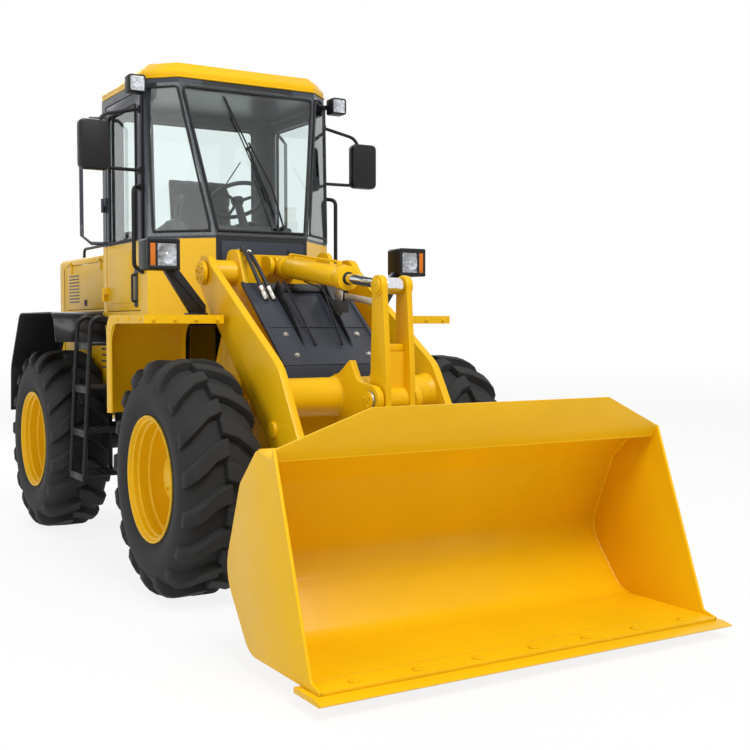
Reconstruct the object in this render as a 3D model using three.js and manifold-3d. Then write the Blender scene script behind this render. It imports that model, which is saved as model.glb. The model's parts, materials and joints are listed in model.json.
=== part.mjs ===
// Articulated wheel loader, millimetres, +Z up, facing -Y, its own left side towards +X.
// Bodies: rear half with cab and engine, front half with axle and fenders, Z-bar arms and bucket.
import * as THREE from "three";
import { ConvexGeometry } from "three/addons/geometries/ConvexGeometry.js";
import { mergeVertices } from "three/addons/utils/BufferGeometryUtils.js";
import Module from "manifold-3d";

const wasm = await Module();
wasm.setup();

// ---------------------------------------------------------------- driving dimensions

const WHEELBASE = 2600;
const FRONT_AXLE_Y = -740;
const REAR_AXLE_Y = FRONT_AXLE_Y + WHEELBASE;
const PIVOT_Y = FRONT_AXLE_Y + WHEELBASE / 2; // vertical hinge between the two halves
const TYRE_R = 675;
const TYRE_WIDTH = 445;
const TRACK = 1680;
const RIM_R = 355;
const SEAT_GAP = 0.3; // between pieces that rest on each other
const RUN_GAP = 0.3; // between a pin and what turns on it
const SIDE_GAP = 8; // beside a turning eye

const ARM_PIVOT = [-290, 1862]; // the arms' rear pins: every pair here is [y, z]
const BUCKET_PIVOT = [-1860, 360];
const CRANK_PIVOT = [-1650, 1140];
const CRANK_TOP = [-1640, 1750];
const CRANK_FOOT = [-1675, 485];
const BUCKET_LUG = [-1930, 577];
const CROSS_TUBE = [-1240, 1140];
const CROSS_TUBE_R = 108;
const ARM_X = 500;
const ARM_THICK = 45;
const PIN_R = 34;
const CRANK_PLATE_X = 76; // middle of each crank plate
const CRANK_PLATE = 32;
const CRANK_BRACKET_X = 120;
const CRANK_BRACKET = 36;

const LIFT_FOOT = [60, 640];
const LIFT_EYE = [-860, 1300];
const LIFT_X = 416;
const LIFT_BARREL_R = 48;
const LIFT_BARREL_LENGTH = 1036; // from the foot pin to the gland face
const LIFT_ROD_R = 29;
const TILT_FOOT = [-290, 1915];
const TILT_BARREL_R = 64;
const TILT_BARREL_LENGTH = 878;
const TILT_ROD_R = 29;
const TILT_PISTON_AT = 400; // from the foot pin
const TILT_ROD_END_AT = 650;
const STEER_FOOT = [360, 1230]; // [x, y], as is the eye
const STEER_EYE = [255, 430];
const STEER_Z = 700;
const STEER_BARREL_R = 33;
const STEER_BARREL_LENGTH = 520;
const STEER_ROD_R = 18;

const BUCKET_HALF = 1120;
const BUCKET_WALL = 16;
const EDGE_HALF = 1150;
const EDGE_TIP_Y = -2980;
const FLOOR_Z = 75; // underside of the bucket's floor

const FRAME_PLATE = 30;
const TOWER_X = 318; // middle of each front frame plate
const RAIL_X = 240; // middle of each rear frame rail
const FRAME_LOW = 800; // underside of both frames at the axles
const RAIL_TOP = 1000;
const RAIL_FRONT_Y = PIVOT_Y + 200;
const RAIL_REAR_Y = REAR_AXLE_Y + 865;

const COVER_LOW = [-1060, 1306];
const COVER_HIGH = [-460, 1801];
const COVER_HALF = 355;
const COVER_THICK = 12;

const CAB_HALF = 670;
const CAB_NOSE_HALF = 325; // the front pane's half width at its foot
const CAB_BROW_HALF = 500; // and at its top
const CAB_FLOOR_Z = 1600;
const PLATFORM_Z = [1540, CAB_FLOOR_Z - SEAT_GAP];
const CAB_WAIST_Z = 2100;
const CAB_EAVES_Z = 3150;
const CAB_ROOF_Z = 3270;
const CAB_FRONT_Y = -20;
const CAB_CORNER_Y = 330;
const CAB_CORNER_LEAN = 45; // how far the front pillars lean back at the eaves
const CAB_REAR_Y = 1270;
const CAB_WALL = 40;
const DOOR_FRONT_Y = 470;
const DOOR_REAR_Y = 1190;
const DOOR_LOW_Z = 1640;
const DOOR_TOP_Z = 3090;
const DOOR_GAP = 6;
const DOOR_HINGE = [CAB_HALF + 20, DOOR_REAR_Y + 20]; // [x, y]
const GLASS_THICK = 6;

const HOOD_HALF = 600;
const HOOD_FRONT_Y = REAR_AXLE_Y - 560;
const HOOD_REAR_Y = REAR_AXLE_Y + 830;
const HOOD_LOW_Z = 1100;
const HOOD_TOP_Z = 2080;
const HOOD_WALL = 20;
const HATCH_Y = [HOOD_FRONT_Y + 120, HOOD_REAR_Y - 190]; // the engine side doors
const HATCH_Z = [1665, 2015];
const TAIL_Y = RAIL_REAR_Y + 255;
const HATCH_GAP = 6;

const FENDER_THICK = 10;
const FRONT_FENDER_TOP = 1600;
const REAR_FENDER_TOP = 1635;

// ---------------------------------------------------------------- colours

const finish = (color, roughness, metalness) =>
  new THREE.MeshStandardMaterial({ color, roughness, metalness });
const YELLOW = () => finish(0xf0b90a, 0.4, 0.0);
const SLATE = () => finish(0x3a3f4a, 0.5, 0.1);
const BLACK = () => finish(0x1c1d20, 0.6, 0.1);
const RUBBER = () => finish(0x17181b, 0.9, 0.0);
const CHROME = () => finish(0xc8ccd0, 0.15, 1.0);
const STEEL = () => finish(0x8c9095, 0.35, 0.9);
const IRON = () => finish(0x4a4b4d, 0.7, 0.5);
const GLASS = () => {
  const pane = finish(0xbfd0d6, 0.05, 0.0);
  pane.transparent = true;
  pane.opacity = 0.35;
  return pane;
};

// ---------------------------------------------------------------- solids

// A closed geometry as a solid: collapsed triangles dropped, faces turned outwards.
function solid(geometry) {
  const bare = geometry.clone();
  bare.deleteAttribute("normal");
  bare.deleteAttribute("uv");
  const merged = mergeVertices(bare, 1e-3);
  const corners = merged.index.array;
  const kept = [];
  for (let i = 0; i < corners.length; i += 3) {
    const [a, b, c] = corners.slice(i, i + 3);
    if (a !== b && b !== c && c !== a) kept.push([a, b, c]);
  }
  const build = (triangles) =>
    new wasm.Manifold(
      new wasm.Mesh({
        numProp: 3,
        vertProperties: new Float32Array(merged.attributes.position.array),
        triVerts: new Uint32Array(triangles.flat()),
      }),
    );
  const made = build(kept);
  return made.volume() < 0 ? build(kept.map(([a, b, c]) => [a, c, b])) : made;
}

const join = (...shapes) => shapes.flat().reduce((whole, next) => whole.add(next));
const cut = (shape, ...tools) => tools.flat().reduce((rest, tool) => rest.subtract(tool), shape);

function geometryOf(shape) {
  const mesh = shape.getMesh();
  const positions = new Float32Array(mesh.numVert * 3);
  for (let i = 0; i < mesh.numVert; i += 1) {
    const at = i * mesh.numProp;
    positions.set(mesh.vertProperties.subarray(at, at + 3), i * 3);
  }
  const geometry = new THREE.BufferGeometry();
  geometry.setAttribute("position", new THREE.BufferAttribute(positions, 3));
  geometry.setIndex(new THREE.BufferAttribute(new Uint32Array(mesh.triVerts), 1));
  return geometry.toNonIndexed();
}

function box([x0, x1], [y0, y1], [z0, z1]) {
  const block = new THREE.BoxGeometry(x1 - x0, y1 - y0, z1 - z0);
  return solid(block.translate((x0 + x1) / 2, (y0 + y1) / 2, (z0 + z1) / 2));
}

// An outline of [u, v] or [u, v, radius] corners, the corners with a radius rounded off.
function outline(corners) {
  const shape = new THREE.Shape();
  corners.forEach(([u, v, radius = 0], i) => {
    const corner = new THREE.Vector2(u, v);
    const before = new THREE.Vector2(...corners.at(i - 1).slice(0, 2));
    const after = new THREE.Vector2(...corners[(i + 1) % corners.length].slice(0, 2));
    const into = before.sub(corner).setLength(radius).add(corner);
    const out = after.sub(corner).setLength(radius).add(corner);
    if (i === 0) shape.moveTo(into.x, into.y);
    else shape.lineTo(into.x, into.y);
    if (radius > 0) shape.quadraticCurveTo(u, v, out.x, out.y);
  });
  shape.closePath();
  return shape;
}

function extruded(corners, depth) {
  const settings = { depth, bevelEnabled: false, curveSegments: 3 };
  return new THREE.ExtrudeGeometry(outline(corners), settings);
}

const axes = (x, y, z) =>
  new THREE.Matrix4().makeBasis(
    new THREE.Vector3(...x),
    new THREE.Vector3(...y),
    new THREE.Vector3(...z),
  );

// A plate with its outline in [y, z], from x0 to x1.
function sidePlate(corners, [x0, x1]) {
  const shape = extruded(corners, x1 - x0);
  return solid(shape.applyMatrix4(axes([0, 1, 0], [0, 0, 1], [1, 0, 0])).translate(x0, 0, 0));
}

// A plate with its outline in [x, y], from z0 to z1.
const flatPlate = (corners, [z0, z1]) => solid(extruded(corners, z1 - z0).translate(0, 0, z0));

// A plate with its outline in [x, z], from y0 to y1.
function crossPlate(corners, [y0, y1]) {
  const shape = extruded(corners, y1 - y0);
  return solid(shape.applyMatrix4(axes([1, 0, 0], [0, 0, 1], [0, -1, 0])).translate(0, y1, 0));
}

// A round bar from one point to another.
function bar(from, to, radius, sides = 12, turn = 0) {
  const a = new THREE.Vector3(...from);
  const along = new THREE.Vector3(...to).sub(a);
  const shape = new THREE.CylinderGeometry(radius, radius, along.length(), sides, 1, false, turn);
  shape.translate(0, along.length() / 2, 0);
  const up = new THREE.Vector3(0, 1, 0);
  shape.applyQuaternion(new THREE.Quaternion().setFromUnitVectors(up, along.normalize()));
  return solid(shape.translate(a.x, a.y, a.z));
}

// A round bar across the machine at [y, z], from x0 to x1.
const crossBar = ([y, z], [x0, x1], radius, sides = 12) =>
  bar([x0, y, z], [x1, y, z], radius, sides);

// A hole for a bar that turns in it: its flats clear the bar's corners in every position.
function bore(from, to, radius, sides = 12) {
  const halfSide = Math.PI / sides;
  return bar(from, to, (radius + RUN_GAP) / Math.cos(halfSide), sides, halfSide);
}

const crossBore = ([y, z], [x0, x1], radius) => bore([x0, y, z], [x1, y, z], radius);

// A solid of revolution about an axis through `at`, from [radius, distance] corners.
function turned(profile, at, axis, sides = 32) {
  const points = profile.map(([r, d]) => new THREE.Vector2(r, d));
  const shape = new THREE.LatheGeometry(points, sides);
  const up = new THREE.Vector3(0, 1, 0);
  const turn = new THREE.Quaternion().setFromUnitVectors(up, new THREE.Vector3(...axis));
  shape.applyQuaternion(turn).translate(...at);
  const made = solid(shape);
  return made;
}

// A round tube bent along points, with a smooth curve through them.
function pipe(points, radius, steps, sides = 6) {
  const path = new THREE.CatmullRomCurve3(
    points.map((p) => new THREE.Vector3(...p)),
    false,
    "catmullrom",
    0.15,
  );
  const section = new THREE.Shape();
  section.absarc(0, 0, radius, 0, Math.PI * 2);
  return solid(
    new THREE.ExtrudeGeometry(section, {
      steps,
      extrudePath: path,
      curveSegments: Math.ceil(sides / 2),
      bevelEnabled: false,
    }),
  );
}

const mirrored = (shape) => shape.scale([-1, 1, 1]);

// The same solid on both sides of the machine, made on its left side (+X).
const onBothSides = (shape) => [shape, mirrored(shape)];

// ---------------------------------------------------------------- the scene

const loader = new THREE.Group();

function add(name, shape, material) {
  const mesh = new THREE.Mesh(geometryOf(shape), material);
  mesh.name = name;
  loader.add(mesh);
}

// Adds NAME_left as drawn on the left side, and NAME_right as its mirror image.
function addPair(name, shape, material) {
  add(`${name}_left`, shape, material());
  add(`${name}_right`, mirrored(shape), material());
}

// ---------------------------------------------------------------- wheels and axles

const WHEEL_X = TRACK / 2;
const HUB_FACE_X = WHEEL_X - 20; // where the wheel disc bolts to the hub
const DISC_THICK = 24;
const WHEEL_SIDES = 22;

function tyreSolid(y) {
  const half = TYRE_WIDTH / 2;
  const seat = RIM_R - 15;
  const profile = [
    [seat, -half + 35],
    [seat + 90, -half],
    [TYRE_R - 50, -half + 10],
    [TYRE_R, -half + 75],
    [TYRE_R, half - 75],
    [TYRE_R - 50, half - 10],
    [seat + 90, half],
    [seat, half - 35],
    [seat, -half + 35],
  ];
  return turned(profile, [WHEEL_X, y, TYRE_R], [1, 0, 0], WHEEL_SIDES);
}

function rimSolid(y) {
  const half = TYRE_WIDTH / 2;
  const seat = RIM_R - 15 - SEAT_GAP;
  const inner = seat - 14;
  const discIn = HUB_FACE_X - WHEEL_X;
  const discOut = discIn + DISC_THICK;
  const profile = [
    [0, discIn],
    [inner, discIn],
    [inner, -half + 34.6],
    [RIM_R, -half + 10],
    [RIM_R + 6, -half + 14],
    [seat, -half + 34.6],
    [seat, half - 34.6],
    [RIM_R + 6, half - 14],
    [RIM_R, half - 10],
    [inner, half - 40],
    [inner - 50, discOut],
    [165, discOut],
    [110, discOut + 75],
    [0, discOut + 75],
  ];
  return turned(profile, [WHEEL_X, y, TYRE_R], [1, 0, 0], WHEEL_SIDES);
}

function axleSolid(y, name) {
  const end = HUB_FACE_X - SEAT_GAP - RUN_GAP;
  const profile = [
    [0, -end],
    [135, -end],
    [135, -end + 60],
    [175, -end + 80],
    [175, -end + 190],
    [115, -end + 215],
    [98, -240],
    [150, -150],
    [196, -60],
    [196, 60],
    [150, 150],
    [98, 240],
    [115, end - 215],
    [175, end - 190],
    [175, end - 80],
    [135, end - 60],
    [135, end],
    [0, end],
  ];
  const housing = turned(profile, [0, y, TYRE_R], [1, 0, 0], 12);
  const railX = name === "front" ? TOWER_X : RAIL_X;
  const pad = box([railX - 32, railX + 32], [y - 120, y + 120], [TYRE_R, FRAME_LOW - SEAT_GAP]);
  const towardsPivot = name === "front" ? 1 : -1;
  const nose = bar([0, y, TYRE_R], [0, y + 300 * towardsPivot, TYRE_R], 75);
  return join(housing, onBothSides(pad), nose);
}

function addWheels() {
  for (const [place, y] of [["front", FRONT_AXLE_Y], ["rear", REAR_AXLE_Y]]) {
    add(`${place}_axle`, axleSolid(y, place), IRON());
    addPair(`${place}_tyre`, tyreSolid(y), RUBBER);
    addPair(`${place}_rim`, rimSolid(y), YELLOW);
  }
}

// ---------------------------------------------------------------- shared small pieces

const LUG_BAND = 45; // height of each pivot lug
const FRONT_LUGS_Z = [950, 520];
const REAR_LUG_STEP = LUG_BAND + SIDE_GAP;

// A hinge knuckle of the cab door: a short upright barrel with a leaf back to the panel.
function knuckle([x, y], [z0, z1], leafTo) {
  const leaf = box([Math.min(leafTo[0], x), Math.max(leafTo[0], x)], leafTo[1], [z0, z1]);
  return join(bar([x, y, z0], [x, y, z1], 13, 12), leaf);
}

// A convex block around points, and the same block around a flat pane moved both ways.
const hull = (points) =>
  solid(new ConvexGeometry(points.map((p) => new THREE.Vector3(...p))));

function paneBlock(corners, depth) {
  const [a, b, c] = corners.map((p) => new THREE.Vector3(...p));
  const normal = b.clone().sub(a).cross(c.clone().sub(a)).setLength(depth / 2);
  const moved = corners.flatMap((p) => [
    new THREE.Vector3(...p).add(normal).toArray(),
    new THREE.Vector3(...p).sub(normal).toArray(),
  ]);
  return hull(moved);
}

// ---------------------------------------------------------------- front half

const coverSlope = (COVER_HIGH[1] - COVER_LOW[1]) / (COVER_HIGH[0] - COVER_LOW[0]);
const coverDrop = COVER_THICK * Math.hypot(1, coverSlope) + SEAT_GAP;
const coverFrontY = COVER_LOW[0] + COVER_THICK + SEAT_GAP;
const belowCover = (y) => COVER_LOW[1] + (y - COVER_LOW[0]) * coverSlope - coverDrop;
const towerInner = TOWER_X - FRAME_PLATE / 2;
const towerOuter = TOWER_X + FRAME_PLATE / 2;
const armInner = ARM_X - ARM_THICK / 2;
const armOuter = ARM_X + ARM_THICK / 2;
const fenderX = [560, 1045];

function towerPlate() {
  const [pivotY, pivotZ] = ARM_PIVOT;
  return sidePlate(
    [
      [coverFrontY, FRAME_LOW],
      [coverFrontY, belowCover(coverFrontY)],
      [COVER_HIGH[0], belowCover(COVER_HIGH[0])],
      [pivotY - 120, pivotZ + 40, 50],
      [pivotY - 60, pivotZ + 150, 50],
      [pivotY + 80, pivotZ + 150, 50],
      [pivotY + 130, pivotZ + 20, 60],
      [-120, 1500, 80],
      [110, 1080, 60],
      [340, 1060, 30],
      [390, 500, 40],
      [170, 480, 40],
      [-60, FRAME_LOW, 60],
    ],
    [towerInner, towerOuter],
  );
}

function frontFrame() {
  const inner = towerInner + 2;
  const across = [-inner, inner];
  const walls = [
    box(across, [coverFrontY, coverFrontY + 30], [FRAME_LOW, 1180]),
    box(across, [-470, -440], [920, 1350]),
    box(across, [320, 350], [500, 1060]),
    box(across, [60, 340], [1030, 1060]),
    box(across, [200, 340], [500, 530]),
    box(across, [-205, -175], [1700, 1990]),
  ];
  const lugs = FRONT_LUGS_Z.map((z) =>
    flatPlate(
      [
        [-130, 330],
        [130, 330],
        [90, PIVOT_Y + 80, 60],
        [-90, PIVOT_Y + 80, 60],
      ],
      [z, z + LUG_BAND],
    ),
  );
  const pins = FRONT_LUGS_Z.map((z) => {
    const top = z + LUG_BAND + REAR_LUG_STEP + 20;
    return bar([0, PIVOT_Y, z + 5], [0, PIVOT_Y, top], 40);
  });
  const armPin = crossBar(ARM_PIVOT, [towerInner + 5, armOuter + SIDE_GAP + 5], 50);
  const armCap = crossBar(ARM_PIVOT, [armOuter + SIDE_GAP, armOuter + SIDE_GAP + 16], 74);
  const armBoss = crossBar(ARM_PIVOT, [towerInner, armInner - SIDE_GAP], 82);
  const liftPin = crossBar(LIFT_FOOT, [towerInner + 5, LIFT_X + 50], 32);
  const liftCap = crossBar(LIFT_FOOT, [LIFT_X + 40, LIFT_X + 52], 38);
  const tiltRoot = [
    [-180, 1790],
    [-180, 1985],
    [TILT_FOOT[0], TILT_FOOT[1] + 62],
    [TILT_FOOT[0] - 40, TILT_FOOT[1] - 45],
  ];
  const tiltLug = join(
    sidePlate(tiltRoot, [TILT_BARREL_R + SIDE_GAP, TILT_BARREL_R + SIDE_GAP + 26]),
    crossBar(TILT_FOOT, [TILT_BARREL_R + SIDE_GAP, TILT_BARREL_R + SIDE_GAP + 26], 62),
  );
  const tiltPin = crossBar(TILT_FOOT, [-92, 92], PIN_R);
  const steerEar = (z) =>
    flatPlate(
      [
        [200, 325],
        [320, 325],
        [STEER_EYE[0] + 42, STEER_EYE[1] + 40, 30],
        [STEER_EYE[0] - 42, STEER_EYE[1] + 40, 30],
      ],
      [z, z + 20],
    );
  const steerEars = join(
    steerEar(STEER_Z + 30 + SIDE_GAP),
    steerEar(STEER_Z - 50 - SIDE_GAP),
  );
  const fenderArm = join(
    box([towerOuter - 5, fenderX[0] - SEAT_GAP], [-140, -100], [1560, 1589]),
    box([towerOuter - 5, fenderX[0] - SEAT_GAP], [-15, 9], [1140, 1200]),
  );
  return join(
    onBothSides(towerPlate()),
    walls,
    lugs,
    pins,
    onBothSides(join(armPin, armCap, armBoss)),
    onBothSides(join(liftPin, liftCap)),
    onBothSides(tiltLug),
    tiltPin,
    onBothSides(steerEars),
    onBothSides(fenderArm),
  );
}

function frontCover() {
  const [lowY, lowZ] = COVER_LOW;
  const [highY, highZ] = COVER_HIGH;
  const bend = COVER_THICK * (Math.hypot(1, coverSlope) - 1) / coverSlope;
  return sidePlate(
    [
      [lowY, 1060],
      [lowY + COVER_THICK, 1060],
      [lowY + COVER_THICK, lowZ - bend],
      [highY, highZ - coverDrop + SEAT_GAP],
      [highY, highZ],
      [lowY, lowZ],
    ],
    [-COVER_HALF, COVER_HALF],
  );
}

function frontFender() {
  const top = FRONT_FENDER_TOP;
  const shell = sidePlate(
    [
      [-675, top],
      [-675, top - 50],
      [-675 + FENDER_THICK, top - 50],
      [-675 + FENDER_THICK, top - FENDER_THICK],
      [-40, top - FENDER_THICK, 30],
      [10, top - 75, 30],
      [10, 1000],
      [10 + FENDER_THICK, 1000],
      [10 + FENDER_THICK, top - 70, 30],
      [-36, top, 30],
    ],
    fenderX,
  );
  const rim = (x) =>
    sidePlate(
      [
        [-674, top - 2],
        [-674, top - 50],
        [-110, top - 50, 40],
        [-62, top - 130, 40],
        [-62, 1001],
        [15, 1001],
        [15, top - 72],
        [-38, top - 2],
      ],
      x,
    );
  const step = join(
    rim([fenderX[1] - FENDER_THICK, fenderX[1]]),
    rim([fenderX[0], fenderX[0] + FENDER_THICK]),
  );
  return join(shell, step);
}

const HEADLIGHT = [863, -424, 1955];

function headlight() {
  const [x, y, z] = HEADLIGHT;
  const half = 100;
  const housing = box([x - half, x + half], [y - 85, y + 75], [z - 92, z + 92]);
  const mouth = box([x - half + 14, x + half - 14], [y - 90, y - 60], [z - 72, z + 72]);
  const lens = box([x - half + 16, x + half - 44], [y - 66, y - 50], [z - 66, z + 66]);
  const signal = box([x + half - 42, x + half - 15], [y - 72, y - 50], [z - 66, z + 66]);
  const arm = hull(
    [y - 20, y + 30].flatMap((at) => [
      [x - 90, at, z - 60],
      [x - 40, at, z - 92],
      [600, at, FRONT_FENDER_TOP + 12],
      [575, at, FRONT_FENDER_TOP + 60],
      [672, at, FRONT_FENDER_TOP + 12],
    ]),
  );
  const foot = box([572, 690], [y - 40, y + 50], [FRONT_FENDER_TOP + SEAT_GAP, FRONT_FENDER_TOP + 14]);
  return join(cut(housing, mouth), lens, signal, arm, foot);
}

function addFrontHalf() {
  add("front_frame", frontFrame(), YELLOW());
  add("front_cover", frontCover(), SLATE());
  addPair("front_fender", frontFender(), YELLOW);
  addPair("headlight", headlight(), BLACK);
}

// ---------------------------------------------------------------- rear half

const postX = [RAIL_X - 40, RAIL_X + 15];
const hoodFootX = [RAIL_X + 100, RAIL_X + 160];
const hoodFootY = [REAR_AXLE_Y + 290, REAR_AXLE_Y + 350];
const tankX = [390, CAB_HALF - 15];

function rearFrame() {
  const rail = box([RAIL_X - 15, RAIL_X + 15], [RAIL_FRONT_Y, RAIL_REAR_Y], [FRAME_LOW, RAIL_TOP]);
  const across = [-RAIL_X, RAIL_X];
  const walls = [
    box(across, [RAIL_FRONT_Y, RAIL_FRONT_Y + 40], [FRAME_LOW, RAIL_TOP]),
    box(across, [HOOD_FRONT_Y - 10, HOOD_FRONT_Y + 20], [FRAME_LOW + 100, RAIL_TOP]),
    box(across, [RAIL_REAR_Y - 30, RAIL_REAR_Y], [FRAME_LOW, RAIL_TOP]),
    box([-130, 130], [RAIL_FRONT_Y - 20, RAIL_FRONT_Y + 140], [500, 1080]),
  ];
  const lugs = FRONT_LUGS_Z.map((z) =>
    cut(
      flatPlate(
        [
          [-130, RAIL_FRONT_Y - 15],
          [-90, PIVOT_Y - 80, 60],
          [90, PIVOT_Y - 80, 60],
          [130, RAIL_FRONT_Y - 15],
        ],
        [z + REAR_LUG_STEP, z + REAR_LUG_STEP + LUG_BAND],
      ),
      bore([0, PIVOT_Y, z], [0, PIVOT_Y, z + 200], 40),
    ),
  );
  const [footX, footY] = STEER_FOOT;
  const ear = (z) => box([RAIL_X, footX + 38], [footY - 38, footY + 38], [z, z + 20]);
  const steer = join(
    ear(STEER_Z + 30 + SIDE_GAP),
    ear(STEER_Z - 50 - SIDE_GAP),
    box([RAIL_X - 12, RAIL_X + 14], [footY - 38, footY + 38], [STEER_Z - 58, FRAME_LOW + 10]),
    bar([footX, footY, STEER_Z - 50], [footX, footY, STEER_Z + 50], 16),
  );
  const post = (y) => box(postX, [y, y + 60], [RAIL_TOP - 20, PLATFORM_Z[0] + 5]);
  const platform = box([-CAB_HALF + 50, CAB_HALF - 50], [CAB_CORNER_Y, CAB_REAR_Y + 15], PLATFORM_Z);
  const tank = box(tankX, [650, 1090], [760, 1530]);
  const tankTie = box([300, 400], [820, 940], [1500, PLATFORM_Z[0] + 5]);
  const hoodFoot = box([RAIL_X, hoodFootX[1]], hoodFootY, [RAIL_TOP - 40, RAIL_TOP]);
  return join(
    onBothSides(rail),
    walls,
    lugs,
    onBothSides(steer),
    onBothSides(join(post(RAIL_FRONT_Y + 30), post(CAB_REAR_Y - 60))),
    platform,
    onBothSides(join(tank, tankTie, box(tankX, [820, 940], [1500, PLATFORM_Z[0] + 5]))),
    onBothSides(hoodFoot),
  );
}

const engineBlock = () =>
  box([-300, 300], [HOOD_FRONT_Y + 100, HOOD_REAR_Y - 340], [RAIL_TOP + SEAT_GAP, 1900]);

const stackY = HOOD_FRONT_Y + 200; // of the exhaust and of the air cleaner

function hood() {
  const outer = crossPlate(
    [
      [-HOOD_HALF, HOOD_LOW_Z],
      [HOOD_HALF, HOOD_LOW_Z],
      [HOOD_HALF, HOOD_TOP_Z, 60],
      [-HOOD_HALF, HOOD_TOP_Z, 60],
    ],
    [HOOD_FRONT_Y, HOOD_REAR_Y],
  );
  const room = crossPlate(
    [
      [-HOOD_HALF + HOOD_WALL, HOOD_LOW_Z - 5],
      [HOOD_HALF - HOOD_WALL, HOOD_LOW_Z - 5],
      [HOOD_HALF - HOOD_WALL, HOOD_TOP_Z - HOOD_WALL, 50],
      [-HOOD_HALF + HOOD_WALL, HOOD_TOP_Z - HOOD_WALL, 50],
    ],
    [HOOD_FRONT_Y + HOOD_WALL, HOOD_REAR_Y + 5],
  );
  const grow = HATCH_GAP;
  const [y0, y1] = HATCH_Y;
  const [z0, z1] = HATCH_Z;
  const hatch = box([HOOD_HALF - 60, HOOD_HALF + 5], [y0 - grow, y1 + grow], [z0 - grow, z1 + grow]);
  const sill = box([hoodFootX[0], HOOD_HALF - 5], hoodFootY, [HOOD_LOW_Z, HOOD_LOW_Z + 30]);
  const foot = box(hoodFootX, hoodFootY, [RAIL_TOP + SEAT_GAP, HOOD_LOW_Z + 30]);
  const upright = (x, height, radius, sides) =>
    bar([x, stackY, HOOD_TOP_Z - 10], [x, stackY, HOOD_TOP_Z + height], radius, sides);
  return join(
    cut(outer, room, onBothSides(hatch)),
    onBothSides(join(sill, foot)),
    upright(330, 420, 45, 16),
    upright(-330, 160, 80, 20),
  );
}

const hatchHinge = [HOOD_HALF + 14, HATCH_Z[1] + 20]; // [x, z]

function hatchDoor() {
  const [y0, y1] = HATCH_Y;
  const [z0, z1] = HATCH_Z;
  const panel = box([HOOD_HALF - HOOD_WALL, HOOD_HALF], [y0, y1], [z0, z1]);
  const strap = (y) =>
    join(
      box([HOOD_HALF - 4, HOOD_HALF + 8], [y - 25, y + 25], [z1 - 60, z1]),
      box([HOOD_HALF + RUN_GAP, HOOD_HALF + 8], [y - 25, y + 25], [z1 - 60, hatchHinge[1]]),
      bar([hatchHinge[0], y - 25, hatchHinge[1]], [hatchHinge[0], y + 25, hatchHinge[1]], 10, 12),
    );
  return join(panel, strap(y0 + 150), strap(y1 - 150));
}

function counterweight() {
  return sidePlate(
    [
      [RAIL_REAR_Y + SEAT_GAP, 760],
      [RAIL_REAR_Y + SEAT_GAP, 1480],
      [TAIL_Y - 60, 1480, 40],
      [TAIL_Y, 1400, 60],
      [TAIL_Y, 900, 60],
      [TAIL_Y - 90, 700, 40],
    ],
    [-HOOD_HALF - 60, HOOD_HALF + 60],
  );
}

const GRILLE_Z = [1500, 2050];

function grille() {
  const y = [HOOD_REAR_Y + SEAT_GAP, HOOD_REAR_Y + 30];
  const frame = box([-HOOD_HALF + 10, HOOD_HALF - 10], y, GRILLE_Z);
  const slots = [];
  const count = 7;
  for (let i = 0; i < count; i += 1) {
    const z = GRILLE_Z[0] + 60 + (i * (GRILLE_Z[1] - GRILLE_Z[0] - 100)) / count;
    slots.push(box([-HOOD_HALF + 90, HOOD_HALF - 90], [y[0] - 5, y[1] + 5], [z, z + 40]));
  }
  return cut(frame, slots);
}

const rearFenderX = [CAB_HALF + 12, 1050];

// A rear fender: [y from the axle, z] outlines of the bent sheet and of its inner web.
function rearFender() {
  const top = REAR_FENDER_TOP;
  const fromAxle = (outline) => outline.map(([y, ...rest]) => [REAR_AXLE_Y + y, ...rest]);
  const shell = fromAxle([
    [-695, 1420],
    [-695 + FENDER_THICK, 1420],
    [-610, top - FENDER_THICK, 60],
    [360, top - FENDER_THICK, 60],
    [670, 1200, 60],
    [700, 850],
    [710, 850],
    [685, 1205, 60],
    [366, top, 60],
    [-614, top, 60],
  ]);
  const web = fromAxle([
    [-695, 1420],
    [-614, top - 1, 60],
    [366, top - 1, 60],
    [685, 1205, 60],
    [709, 851],
    [694, 851],
    [620, 1190, 80],
    [340, 1530, 80],
    [-570, 1530, 60],
    [-630, 1420],
  ]);
  const inner = rearFenderX[0];
  return join(
    sidePlate(shell, rearFenderX),
    sidePlate(web, [inner, inner + FENDER_THICK]),
    box([HOOD_HALF + SEAT_GAP, inner + 5], [REAR_AXLE_Y - 260, REAR_AXLE_Y + 240], [1560, 1590]),
  );
}

const TREADS_Z = [500, 800, 1100, 1400];
const STEP_Y = [775, 1105];

// The steps: outwards from the cab's side, [how far out, z] for the bent rails.
function steps() {
  const [y0, y1] = STEP_Y;
  const treads = TREADS_Z.map((z, i) =>
    box([CAB_HALF + SEAT_GAP, CAB_HALF + 315 - i * 20], [y0 + 5, y1 - 5], [z, z + 25]),
  );
  const sides = [y0, y1 - 12];
  const frame = sides.map((y) => box([CAB_HALF + 2, CAB_HALF + 30], [y, y + 12], [500, 1560]));
  const outer = sides.map((y) => {
    const bends = [[300, 512], [280, 900], [245, 1560], [190, 1600], [20, 1548]];
    return pipe(bends.map(([out, z]) => [CAB_HALF + out, y + 6, z]), 16, 9);
  });
  const back = box([tankX[1] + SEAT_GAP, CAB_HALF + 14], STEP_Y, [1380, 1520]);
  return join(treads, frame, outer, back);
}

function addRearHalf() {
  add("rear_frame", rearFrame(), BLACK());
  add("engine_block", engineBlock(), IRON());
  add("engine_hood", hood(), YELLOW());
  addPair("hood_door", hatchDoor(), YELLOW);
  add("counterweight", counterweight(), YELLOW());
  add("rear_grille", grille(), SLATE());
  addPair("rear_fender", rearFender(), BLACK);
  addPair("steps", steps(), BLACK);
}

// ---------------------------------------------------------------- cab

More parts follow.
